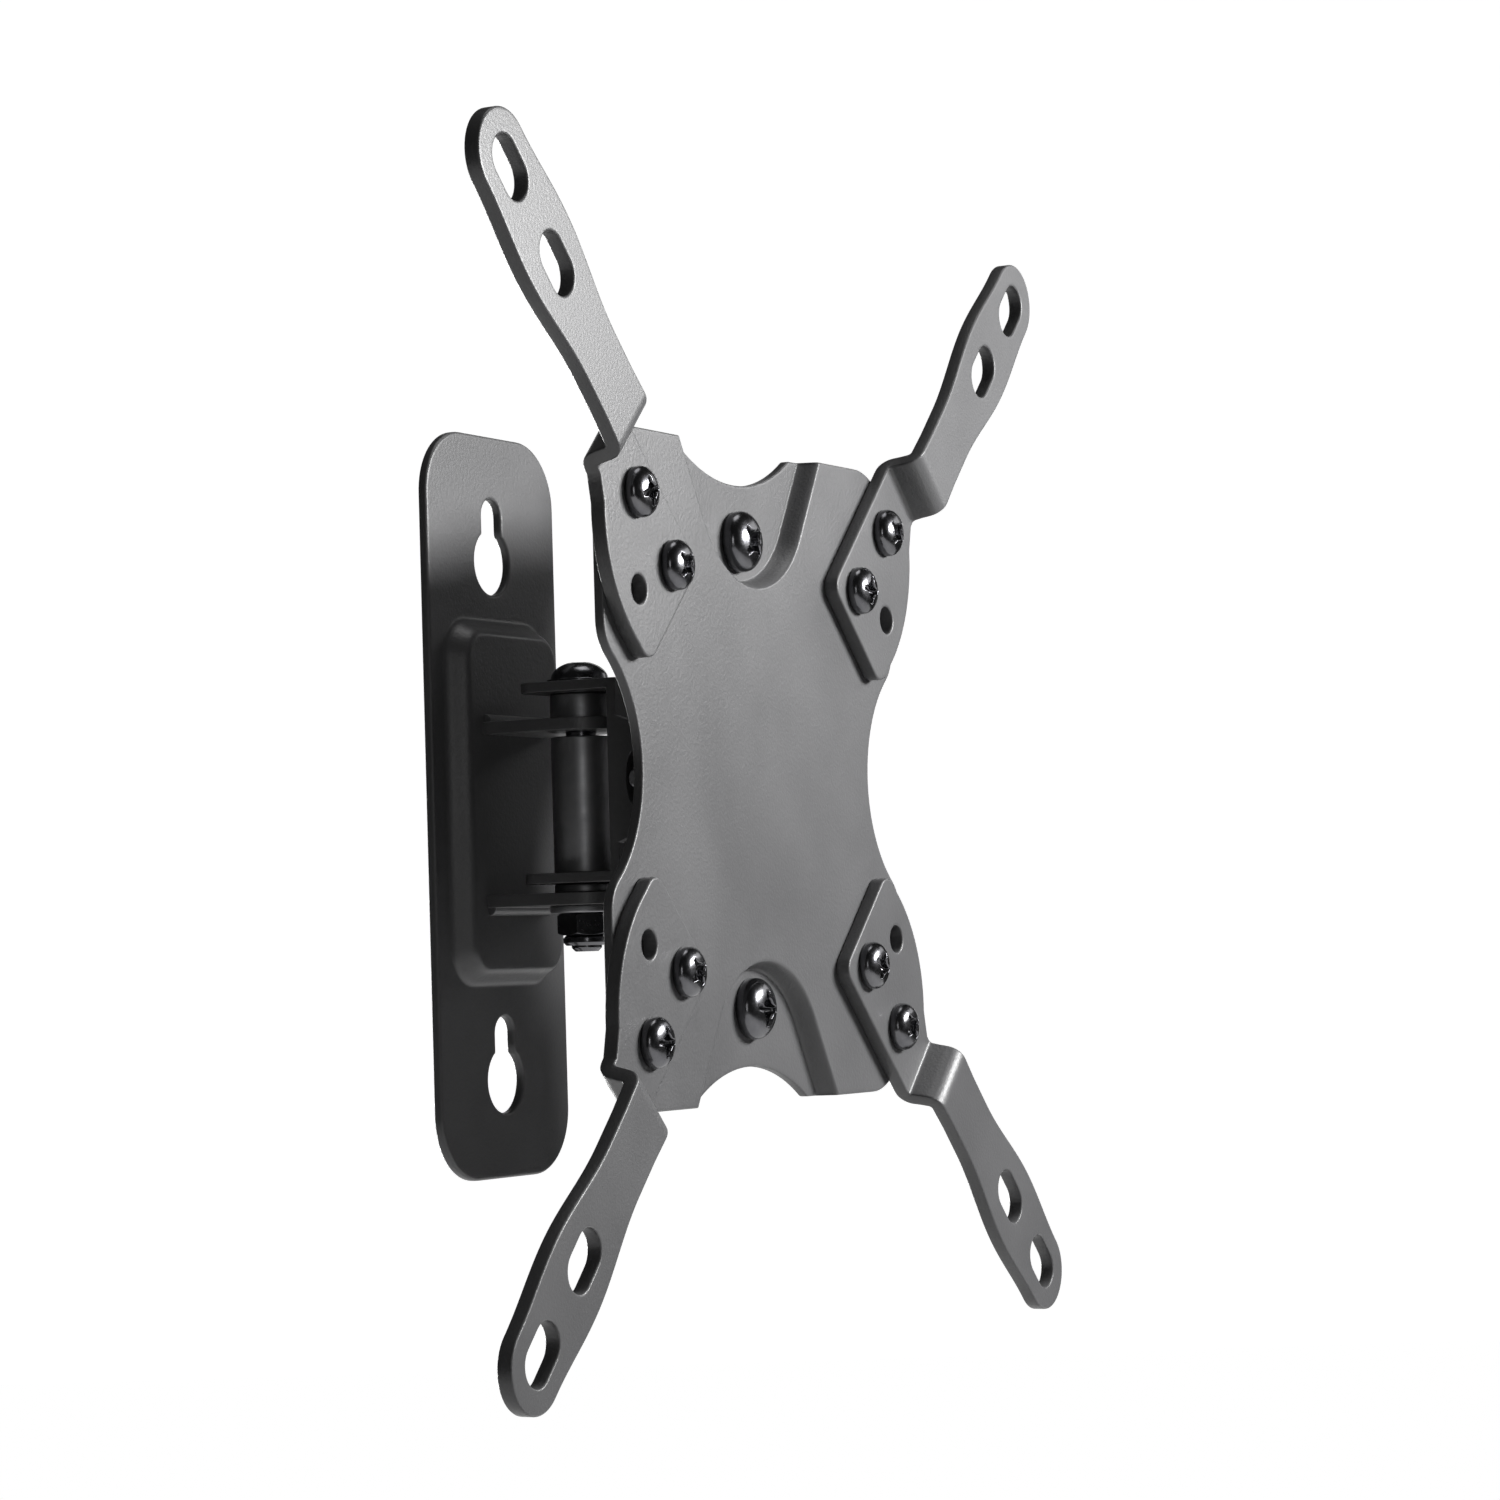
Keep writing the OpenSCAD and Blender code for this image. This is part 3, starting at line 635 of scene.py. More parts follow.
@dataclass(frozen=True)
class TurnedFinish(Finish):
    """A finish whose grain runs round the piece's upright axis, as lathe marks do.

    Attributes:
        stretch: how much slower the pattern runs across the axis than along it.
    """

    stretch: float = 0.08

    def grain_node(self, tree: bpy.types.NodeTree,
                   place: bpy.types.NodeSocket | bpy.types.Node) -> bpy.types.Node:
        """Adds fine bands stacked along Z.

        Args:
            tree: the material's node tree.
            place: source of the position.

        Returns:
            The node, whose first output runs from 0 to 1.
        """
        flat = add_node(tree, "ShaderNodeMapping",
                        {"Vector": place, "Scale": (self.stretch, self.stretch, 1.0)})
        return super().grain_node(tree, flat)


# Steel sheet with a baked satin polyester powder coat: a soft sheen over a faint grain.
# The real grain is about 0.15 mm; it is drawn at 0.6 mm, as fine as still shows.
POWDER_COAT = Finish("Satin black powder coat", Slot.POWDER_COAT, "#505051", "#555556",
                     roughness=0.42, roughness_drift=0.03, metallic=0.0,
                     grain=0.6, grain_height=0.05, cloud=28.0)
# Turned steel in oiled black oxide: a thin dark skin that still shines like metal, with
# fine lathe marks around it that draw the light into a stripe.
TURNED_OXIDE = TurnedFinish("Turned black oxide steel", Slot.OXIDE, "#929294", "#828284",
                            roughness=0.42, roughness_drift=0.04, metallic=0.8,
                            grain=0.35, grain_height=0.004, cloud=7.0)
# Screws plated in bright black nickel: dark mirror highlights with a faint brushing.
BLACK_NICKEL = Finish("Bright black nickel plate", Slot.NICKEL, "#626264", "#57575a",
                      roughness=0.23, roughness_drift=0.03, metallic=1.0,
                      grain=0.6, grain_height=0.002, cloud=4.0)
# Moulded nylon rings and friction washers: soft and dull.
NYLON = Finish("Moulded black nylon", Slot.NYLON, "#1b1d21", "#22252a",
               roughness=0.48, roughness_drift=0.04, metallic=0.0,
               grain=0.4, grain_height=0.006, cloud=6.0)


# ---------------------------------------------------------------------------
# Placing pieces


def node_box(node: str) -> tuple[Vector, Vector]:
    """Lowest and highest corners of a CAD node in millimetres."""
    low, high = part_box(node)
    return low / MM, high / MM


def body_of(node: str) -> Body:
    """The body that a CAD node belongs to."""
    return Body(frame["nodes"][node]["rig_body"])


def place_piece(name: str, mesh: bpy.types.Mesh, finish: Finish, body: Body,
                *replaced: str) -> bpy.types.Object:
    """Links a mesh to the scene as a piece of a body.

    Args:
        name: the piece's name.
        mesh: its mesh, already in place.
        finish: what it is finished in.
        body: the body that it rides on.
        replaced: the CAD nodes that it stands for.

    Returns:
        The new object.
    """
    piece = bpy.data.objects.new(name, mesh)
    bpy.context.scene.collection.objects.link(piece)
    mesh.materials.clear()
    mesh.materials.append(finish.material())
    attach(piece, body.value)
    if replaced:
        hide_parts(*replaced)
    LOG.info("%s: %d faces in %s on %s", name, len(mesh.polygons), finish.name, body.value)
    return piece


def join_meshes(name: str, meshes: Sequence[bpy.types.Mesh]) -> bpy.types.Mesh:
    """Joins meshes into one.

    Args:
        name: the new mesh's name.
        meshes: the meshes, already in place.

    Returns:
        The new mesh.
    """
    work = bmesh.new()
    for mesh in meshes:
        work.from_mesh(mesh)
    joined = bpy.data.meshes.new(name)
    work.to_mesh(joined)
    work.free()
    joined.shade_smooth()
    return joined


@dataclass
class BrokenEdgePart:
    """A folded or forged part that takes its form from its CAD node, with its edges broken.

    Attributes:
        node: the CAD node.
        finish: its finish.
        edge: radius of its broken edges.
        fold: edges sharper than this angle in degrees are broken.
        flat: edges flatter than this angle in degrees are left out.
        weld: points closer than this are joined.
        segments: sides of a broken edge.
        face_weight: how much a large face outweighs a small one in the shading.
    """

    node: str
    finish: Finish
    edge: float
    fold: float = 32.0
    flat: float = 0.6
    weld: float = 0.002
    segments: int = 3
    face_weight: int = 90

    def build(self) -> None:
        """Makes the piece and stands it in for its node."""
        work = bmesh.new()
        work.from_mesh(frame["nodes"][self.node].data)
        bmesh.ops.remove_doubles(work, verts=work.verts, dist=self.weld * MM)
        bmesh.ops.dissolve_limit(work, angle_limit=math.radians(self.flat), verts=work.verts,
                                 edges=work.edges)
        sharp = [e for e in work.edges if len(e.link_faces) == 2
                 and e.calc_face_angle(0) > math.radians(self.fold)]
        bmesh.ops.bevel(work, geom=sharp, offset=self.edge * MM, segments=self.segments,
                        profile=0.5, affect="EDGES", clamp_overlap=True)
        mesh = bpy.data.meshes.new(self.node + "_skin")
        work.to_mesh(mesh)
        work.free()
        mesh.shade_smooth()
        piece = place_piece(self.node + "_finished", mesh, self.finish, body_of(self.node),
                            self.node)
        weights = piece.modifiers.new("face_weights", "WEIGHTED_NORMAL")
        weights.keep_sharp = True
        weights.weight = self.face_weight


# ---------------------------------------------------------------------------
# Turned pieces


@dataclass
class TurnedRing:
    """A ring turned on a lathe about an upright axis, with rounded edges.

    Attributes:
        node: the CAD node, whose box gives its place, height and outer diameter.
        bore: inner diameter.
        edge: radius of its outer edges; its inner edges have half of it.
        around: sides of its circles.
    """

    node: str
    bore: float
    edge: float = 0.35
    around: int = 72

    def profile(self, r_out: float, low: float, high: float) -> Points:
        """Works out what is turned about the axis.

        Args:
            r_out: outer radius.
            low, high: heights of its two ends.

        Returns:
            Closed list of (radius, height).
        """
        e, r_in = self.edge, self.bore / 2
        return (arc(r_out - e, low + e, e, -90, 0, steps=4)
                + arc(r_out - e, high - e, e, 0, 90, steps=4)
                + arc(r_in + e / 2, high - e / 2, e / 2, 90, 180, steps=2)
                + arc(r_in + e / 2, low + e / 2, e / 2, 180, 270, steps=2))

    def build(self, finish: Finish) -> None:
        """Makes the piece and stands it in for its node.

        Args:
            finish: what it is finished in.
        """
        low, high = node_box(self.node)
        middle = (low + high) / 2
        shell, rows = Shell(), []
        for r, z in self.profile((high.x - low.x) / 2, low.z, high.z):
            ring = circle(middle.x, middle.y, r, self.around)
            rows.append(shell.add_points(np.column_stack((ring, np.full(self.around, z)))))
        for row, following in zip(rows, rows[1:] + rows[:1]):
            shell.join_rows(following, row)
        name = self.node + "_turned"
        place_piece(name, shell.mesh(name), finish, body_of(self.node), self.node)


@dataclass
class PanScrew:
    """A pan head screw with a cross recess; its head faces forward from a seat at depth 0.

    Attributes:
        shank: diameter of the thread.
        head: diameter of the head.
        crown: height of the head.
        length: how far the shank reaches behind the seat.
        turn: angle of the cross in degrees.
        thread_from: depth behind the seat at which the thread shows.
        pitch, thread_depth: distance between the thread's turns, and their depth.
        cross_reach, cross_wing: reach and half width of the cross's wings, as shares of
            the head's diameter.
        cross_wall: how far the recess's walls slope in.
        brim: height of the head's straight side, as a share of the crown.
        bulge: power of the dome's curve, where 2 gives an ellipse.
        face_share: share of the head's radius that its gridded face covers.
        under_edge: how far the head's lower edge is rounded.
    """

    shank: float
    head: float
    crown: float
    length: float
    turn: float
    thread_from: float
    pitch: float = 0.9
    thread_depth: float = 0.4
    cross_reach: float = 0.3
    cross_wing: float = 0.062
    cross_wall: float = 0.28
    brim: float = 0.32
    bulge: float = 8 / 3
    face_share: float = 0.9
    under_edge: float = 0.3

    def cross(self, grow: float = 0.0) -> Loop:
        """Draws the outline of the cross recess.

        Args:
            grow: how far it is moved outwards.

        Returns:
            The closed loop, counter-clockwise.
        """
        reach, wing = self.head * self.cross_reach, self.head * self.cross_wing
        # A wing's half widths at its end and at its foot, where that foot stands, and the
        # corner between two wings.
        tip, root = wing * 0.8, wing * 1.25
        foot, web = reach * 0.56, reach * 0.42
        quarter = [(reach, -tip), (reach, tip), (foot, root), (web, web), (root, foot)]
        points = []
        for k in range(4):
            a = math.radians(90 * k + self.turn)
            points += [(x * math.cos(a) - y * math.sin(a), x * math.sin(a) + y * math.cos(a))
                       for x, y in quarter]
        return offset(spread(np.array(points), step=0.22), grow)

    def dome(self, r: np.ndarray) -> np.ndarray:
        """Works out the head's height above its seat, without the recess.

        Args:
            r: distances from the axis.

        Returns:
            The heights.
        """
        brim = self.crown * self.brim
        share = np.clip(r / (self.head / 2), 0, 1) ** self.bulge
        return brim + (self.crown - brim) * np.sqrt(1 - share)

    def face(self, points: np.ndarray) -> np.ndarray:
        """Works out the depth of the head's face, with the recess pressed into it.

        Args:
            points: rows of (x, z) from the axis.

        Returns:
            The depths.
        """
        r = np.hypot(*points.T)
        sunk = ease(depth_inside(points, self.cross()) / self.cross_wall)
        # The recess is shallow at its wings' ends and runs down to a point in the middle.
        shallow, deeper, taper = 0.16, 0.62, 0.8
        inward = np.clip(1 - r / (self.head * self.cross_reach), 0, 1)
        return -(self.dome(r) - self.crown * (shallow + deeper * inward ** taper) * sunk)

    def shell(self) -> Shell:
        """Builds the head, its rim and the threaded shank.

        Returns:
            The closed shell.
        """
        r_edge = self.head / 2 * self.face_share
        # Rings of points fill the dome, and keep clear of its edge and of the recess's walls.
        first, spacing, per_mm = 0.35, 0.42, 14
        edge_gap, outer_gap, inner_gap = 0.2, 0.25, 0.4
        rings = [circle(0, 0, r, steps=max(6, int(r * per_mm)))
                 for r in np.arange(first, r_edge - edge_gap, spacing)]
        dots = np.concatenate(rings + [np.zeros((1, 2))])
        depth = depth_inside(dots, self.cross())
        dots = dots[(depth < -outer_gap) | (depth > inner_gap)]
        walls = [self.cross(grow) for grow in (0.12, 0.0, -0.1, -0.19, -self.cross_wall)]
        patch = Patch(circle(0, 0, r_edge, steps=56), closed=walls, dots=dots)
        shell = Shell()
        x, z = patch.points.T
        shell.add_points(np.column_stack((x, self.face(patch.points), z)))
        shell.faces += [tuple(face) for face in patch.faces.tolist()]
        border = patch.borders[0]
        around = patch.points[border] / r_edge
        rows = [border]
        for r, y in self.side(r_edge):
            rows.append(shell.add_points(
                np.column_stack((around[:, 0] * r, np.full(len(around), y), around[:, 1] * r))))
        for upper, lower in zip(rows, rows[1:]):
            shell.join_rows(upper, lower)
        shell.faces.append(tuple(rows[-1][::-1]))
        return shell

    def side(self, r_edge: float) -> Points:
        """Follows the screw from the dome's edge round to the shank's end.

        Args:
            r_edge: radius at which the gridded face ends.

        Returns:
            List of (radius, depth).
        """
        r_head, r_shank = self.head / 2, self.shank / 2
        radii = [r_edge + (r_head - r_edge) * k for k in (0.35, 0.62, 0.82, 0.94, 1.0)]
        rows = [(r, -float(self.dome(np.array(r)))) for r in radii]
        e = self.under_edge
        rows += [(r_head, -e), (r_head - 0.3 * e, -0.3 * e), (r_head - e, 0.0), (r_shank, 0.0)]
        y = self.thread_from
        rows.append((r_shank, y))
        # Each turn's root and crest, as shares of the pitch, stop short of the blunt point.
        root_at, crest_at = 0.45, 0.9
        runout, point, blunt, core = 0.3, 0.6, 0.5, 0.4
        while y + self.pitch < self.length - runout:
            rows += [(r_shank - self.thread_depth, y + self.pitch * root_at),
                     (r_shank, y + self.pitch * crest_at)]
            y += self.pitch
        rows += [(r_shank, self.length - point), (r_shank - blunt, self.length),
                 (core, self.length)]
        return rows

    def mesh(self, name: str, place: Matrix) -> bpy.types.Mesh:
        """Makes the mesh and puts it in place.

        Args:
            name: the mesh's name.
            place: matrix in metres.

        Returns:
            The new mesh.
        """
        mesh = self.shell().mesh(name)
        mesh.transform(place)
        return mesh


# ---------------------------------------------------------------------------
# Sub-assemblies


@dataclass
class WallSide:
    """The wall plate with its raised boss, and the bracket welded into it.

    Attributes:
        sheet: thickness of the plate.
        corner: corner radius of the plate.
        rim: radius of the plate's broken edges.
        key_pitch: distance between the keyholes' entry holes.
        key_d, key_neck, key_rise: a keyhole's entry diameter, neck width and neck height.
        boss_w, boss_h, boss_r: the boss at its foot.
        boss_side: how far the boss's sides slope in.
        boss_lift: height of the boss's middle above the plate's.
        press_shift: how far inside the front's foot the pocket's foot lies.
        crease: distance between the lines that follow the boss's sides.
        bracket_edge: radius of the bracket's broken edges.
        middle, width, height: the plate's middle height and its size.
        rise: how far the boss stands out of the plate.
    """

    sheet: float = 2.0
    corner: float = 13.0
    rim: float = 0.55
    key_pitch: float = 103.0
    key_d: float = 13.0
    key_neck: float = 7.0
    key_rise: float = 9.2
    boss_w: float = 39.0
    boss_h: float = 73.0
    boss_r: float = 8.5
    boss_side: float = 3.8
    boss_lift: float = 0.5
    press_shift: float = 0.9
    crease: float = 0.4
    bracket_edge: float = 0.35

    def __post_init__(self) -> None:
        """Reads the plate's size and place from its CAD node."""
        low, high = node_box("wall_plate")
        self.middle = (low.z + high.z) / 2
        self.width, self.height = high.x - low.x, high.z - low.z
        self.rise = -self.sheet - low.y

    def keyhole(self, z: float) -> Loop:
        """Draws the outline of a keyhole.

        Args:
            z: height of its entry hole's centre.

        Returns:
            The closed loop, counter-clockwise.
        """
        r, half = self.key_d / 2, self.key_neck / 2
        lean = math.degrees(math.asin(half / r))
        return np.array(arc(0, z, r, 90 + lean, 450 - lean, steps=40)
                        + arc(0, z + self.key_rise, half, 0, 180, steps=20))

    def boss(self, grow: float) -> Loop:
        """Draws a loop around the boss.

        Args:
            grow: how far outside the boss's foot it runs.

        Returns:
            The closed loop, counter-clockwise.
        """
        loop = rounded_rect(0, self.middle + self.boss_lift, self.boss_w, self.boss_h,
                            self.boss_r, steps=14)
        return offset(clean(loop), grow)

    def raised(self, base: float, shift: float) -> Surface:
        """Works out a face with the boss pressed out of it.

        Args:
            base: depth of the face round the boss.
            shift: how far inside the boss's foot the face starts to rise.

        Returns:
            The depth of the face over (X, Z) points.
        """
        foot = self.boss(0)
        return lambda p: base - self.rise * ease((depth_inside(p, foot) - shift) / self.boss_side)

    def build(self) -> None:
        """Builds the wall plate and the welded bracket."""
        outline = clean(rounded_rect(0, self.middle, self.width, self.height, self.corner,
                                     steps=20))
        insets = np.arange(-self.crease, self.boss_side + 4 * self.crease, self.crease)
        creases = [np.vstack((loop, loop[:1])) for loop in (self.boss(-d) for d in insets)]
        keyholes = [spread(self.keyhole(s * self.key_pitch / 2), step=2.0) for s in (-1, 1)]
        plate = Sheet(spread(outline, step=6.0), keyholes, self.raised(-self.sheet, 0.0),
                      self.raised(0.0, self.press_shift), creases, self.rim)
        place_piece("pressed_wall_plate", plate.shell().mesh("pressed_wall_plate"), POWDER_COAT,
                    Body.WALL, "wall_plate")
        BrokenEdgePart("wall_bracket", POWDER_COAT, self.bracket_edge).build()


@dataclass
class SwivelStack:
    """Everything on the upright swivel bolt.

    Attributes:
        bore: inner diameter of what is turned to fit round the bolt.
        bolt_edge, nut_edge, ring_edge: radii of the broken edges of the bolt, its nut and
            the nut's nylon ring.
    """

    bore: float = 6.1
    bolt_edge: float = 0.2
    nut_edge: float = 0.25
    ring_edge: float = 0.15

    def build(self) -> None:
        """Builds the bolt, bush, sleeve, washers and lock nut."""
        for node in ("upper_bush", "pivot_sleeve", "spacer_washer", "pivot_washer"):
            TurnedRing(node, self.bore).build(TURNED_OXIDE)
        BrokenEdgePart("pivot_bolt", BLACK_NICKEL, self.bolt_edge).build()
        BrokenEdgePart("pivot_lock_nut", BLACK_NICKEL, self.nut_edge).build()
        BrokenEdgePart("pivot_nut_ring", NYLON, self.ring_edge).build()


@dataclass
class TiltHinge:
    """The swivel bracket, the tilt bracket and everything on the tilt bolt.

    Attributes:
        ears_over: width over the tilt bracket's ears.
        washer: thickness of the washer under the bolt's head.
        bolt_turn: angle of the cross in the bolt's head in degrees.
        thread_from: depth behind the bolt's seat at which its thread shows.
        bracket_edge, small_edge: radii of the broken edges of the brackets and of the
            small parts.
    """

    ears_over: float = 24.0
    washer: float = 1.5
    bolt_turn: float = 12.0
    thread_from: float = 26.0
    bracket_edge: float = 0.35
    small_edge: float = 0.2

    def build(self) -> None:
        """Builds both brackets and the tilt bolt's stack."""
        for node in ("swivel_bracket", "tilt_bracket"):
            BrokenEdgePart(node, POWDER_COAT, self.bracket_edge).build()
        for node, finish in (("tilt_spacer", TURNED_OXIDE), ("tilt_washers", BLACK_NICKEL),
                             ("tilt_lock_nut", BLACK_NICKEL), ("tilt_guide_pin", TURNED_OXIDE),
                             ("friction_washers", NYLON), ("tilt_nut_ring", NYLON)):
            BrokenEdgePart(node, finish, self.small_edge).build()
        low, high = node_box("tilt_bolt")
        seat = -self.ears_over / 2 - self.washer
        screw = PanScrew(BOLT_D, high.z - low.z, seat - low.x, high.x - seat, self.bolt_turn,
                         self.thread_from)
        spot = Vector((seat, (low.y + high.y) / 2, (low.z + high.z) / 2)) * MM
        place = Matrix.Translation(spot) @ Matrix.Rotation(math.radians(-90), 4, "Z")
        place_piece("tilt_screw", screw.mesh("tilt_screw", place), BLACK_NICKEL,
                    body_of("tilt_bolt"), "tilt_bolt")


@dataclass
class TvPlate:
    """The butterfly-shaped plate with its two pressed recesses.

    Attributes:
        sheet: thickness of the plate.
        rim: radius of its broken edges.
        waist: width at the waist; waist_r is its radius.
        notch_r, notch_depth: radius and depth of the notches in the top and bottom edges.
        corner, blend, lip: radii of the outline's other curves.
        recess_r, recess_ahead: radius of a recess's round end, and how far its centre lies
            outwards from the plate screw.
        recess_lean: angle at which a recess's sides flare out, in degrees.
        recess_side: how far a recess's wall slopes in.
        recess_tuck: how far the wall's middle lies inside the recess's outline.
        recess_lip, recess_root: shares of that slope which its outer and inner bends take.
        screws_apart: distance between the plate screws.
        thread_from: depth behind their seats at which their threads show.
        nut_edge: radius of the nuts' broken edges.
        overrun: how far the lines along a recess run past the plate's edge.
        margin: how far the first and last of those lines stand clear of the slope.
        middle, width, height, face: the plate's middle height, its size and the depth of
            its front.
        recess_depth, recess_at: a recess's depth, and how far its round end's centre lies
            from the plate's middle.
        recess_lead, back_shift: how far outside a recess's outline its wall's front
            starts, and how much further out its back does.
    """

    sheet: float = 2.0
    rim: float = 0.38
    waist: float = 91.0
    waist_r: float = 26.5
    notch_r: float = 42.0
    notch_depth: float = 6.7
    corner: float = 14.0
    blend: float = 8.0
    lip: float = 2.0
    recess_r: float = 22.0
    recess_ahead: float = 13.0
    recess_lean: float = 30.0
    recess_side: float = 1.9
    recess_tuck: float = 0.6
    recess_lip: float = 0.45
    recess_root: float = 0.35
    screws_apart: float = 90.0
    thread_from: float = 8.5
    nut_edge: float = 0.25
    overrun: float = 2.0
    margin: float = 0.2

    def __post_init__(self) -> None:
        """Reads where the plate stands from its CAD node, and works out its recess walls."""
        low, high = node_box("tv_plate")
        self.middle = (low.z + high.z) / 2
        self.width, self.height = high.x - low.x, high.z - low.z
        self.face = low.y
        self.recess_depth = high.y - low.y - self.sheet
        self.recess_at = self.screws_apart / 2 + self.recess_ahead
        # The wall's back is moved out so that the sheet keeps its thickness up the slope.
        self.recess_lead = self.recess_side / 2 - self.recess_tuck
        run = self.recess_side * (1 - (self.recess_lip + self.recess_root) / 2)
        climb = self.recess_depth / run
        self.back_shift = self.sheet * (math.sqrt(1 + climb ** 2) - 1) / climb

    def quarter(self) -> Points:
        """Draws the upper right quarter of the outline.

        Returns:
            Points from the notch round to the waist, about the plate's middle.
        """
        top, side = self.height / 2, self.width / 2
        notch_y = top - self.notch_depth + self.notch_r
        lip_y = top - self.lip
        lip_x = math.sqrt((self.notch_r + self.lip) ** 2 - (notch_y - lip_y) ** 2)
        waist_x = self.waist / 2 + self.waist_r
        blend_x = side - self.blend
        blend_y = math.sqrt((self.waist_r + self.blend) ** 2 - (waist_x - blend_x) ** 2)
        blend_a = math.degrees(math.atan2(-blend_y, waist_x - blend_x))
        notch_a = math.degrees(math.atan2(lip_y - notch_y, lip_x))
        lip_a = math.degrees(math.atan2(notch_y - lip_y, -lip_x))
        return (arc(0, notch_y, self.notch_r, -90, notch_a, steps=24)
                + arc(lip_x, lip_y, self.lip, lip_a, 90, steps=8)
                + arc(side - self.corner, top - self.corner, self.corner, 90, 0, steps=20)
                + arc(blend_x, blend_y, self.blend, 0, blend_a, steps=8)
                + arc(waist_x, 0, self.waist_r, blend_a + 180, 180, steps=20))

    def outline(self) -> Loop:
        """Mirrors the quarter to the whole outline.

        Returns:
            The closed loop, counter-clockwise.
        """
        quarter = np.array(self.quarter())[::-1]
        flip_x, flip_z = np.array((-1, 1)), np.array((1, -1))
        loop = np.vstack((quarter, quarter[::-1] * flip_x, quarter * -1, quarter[::-1] * flip_z))
        return clean(loop + np.array((0, self.middle)))

    def recess_inset(self, points: np.ndarray) -> np.ndarray:
        """Measures how far points lie inside the nearer recess's outline.

        Args:
            points: rows of (X, Z).

        Returns:
            The distances, positive inside.
        """
        x = np.abs(points[:, 0])
        z = np.abs(points[:, 1] - self.middle) - self.recess_at
        lean = math.radians(self.recess_lean)
        flare = x * math.cos(lean) - z * math.sin(lean)
        in_round_end = np.degrees(np.arctan2(z, x)) < -self.recess_lean
        return self.recess_r - np.where(in_round_end, np.hypot(x, z), flare)

    def recess_line(self, side: int, grow: float) -> Loop:
        """Draws a line along a recess's wall.

        Args:
            side: 1 for the upper recess and -1 for the lower.
            grow: how far outside the recess's outline it runs.

        Returns:
            The open line.
        """
        r, lean = self.recess_r + grow, math.radians(self.recess_lean)
        end = self.height / 2 + self.overrun
        half, low = r * math.cos(lean), self.recess_at - r * math.sin(lean)
        top = half + (end - low) * math.tan(lean)
        round_end = arc(0, self.recess_at, r, 180 + self.recess_lean, 360 - self.recess_lean,
                        steps=44)
        return np.array([(x, self.middle + side * z)
                         for x, z in ((-top, end), *round_end, (top, end))])

    def pressed(self, base: float, shift: float) -> Surface:
        """Works out a face with both recesses pressed into it.

        Args:
            base: depth of the face round the recesses.
            shift: how far outwards the recesses' walls are moved.

        Returns:
            The depth of the face over (X, Z) points.
        """
        lead = self.recess_lead + shift
        return lambda p: base + self.recess_depth * pressed_wall(
            (self.recess_inset(p) + lead) / self.recess_side, self.recess_lip, self.recess_root)

    def build(self) -> None:
        """Builds the plate, its two screws and their nuts."""
        far = INNER_PITCH / 2
        holes = [circle(sx * at, self.middle + sz * at, SCREW_HOLE / 2, steps=28)
                 for at in (far, far - SCREW_STEP / math.sqrt(2))
                 for sx in (-1, 1) for sz in (-1, 1)]
        holes += [circle(0, self.middle + s * self.screws_apart / 2, BOLT_HOLE / 2, steps=32)
                  for s in (-1, 1)]
        walls = np.linspace(self.recess_lead - self.recess_side - self.margin,
                            self.recess_lead + self.back_shift + self.margin, 18)
        creases = [self.recess_line(side, grow) for side in (-1, 1) for grow in walls]
        plate = Sheet(spread(self.outline(), step=3.0), holes, self.pressed(self.face, 0.0),
                      self.pressed(self.face + self.sheet, self.back_shift), creases, self.rim)
        place_piece("butterfly_plate", plate.shell().mesh("butterfly_plate"), POWDER_COAT,
                    Body.TV, "tv_plate")
        seat = self.face + self.recess_depth
        for s, node, turn in ((1, "plate_screw_upper", 45.0), (-1, "plate_screw_lower", -5.0)):
            low, high = node_box(node)
            screw = PanScrew(BOLT_D, high.x - low.x, seat - low.y, high.y - seat, turn,
                             self.thread_from)
            spot = Vector((0, seat, self.middle + s * self.screws_apart / 2)) * MM
            place_piece(node + "_head", screw.mesh(node + "_head", Matrix.Translation(spot)),
                        BLACK_NICKEL, Body.TV, node)
        BrokenEdgePart("plate_nuts", BLACK_NICKEL, self.nut_edge).build()


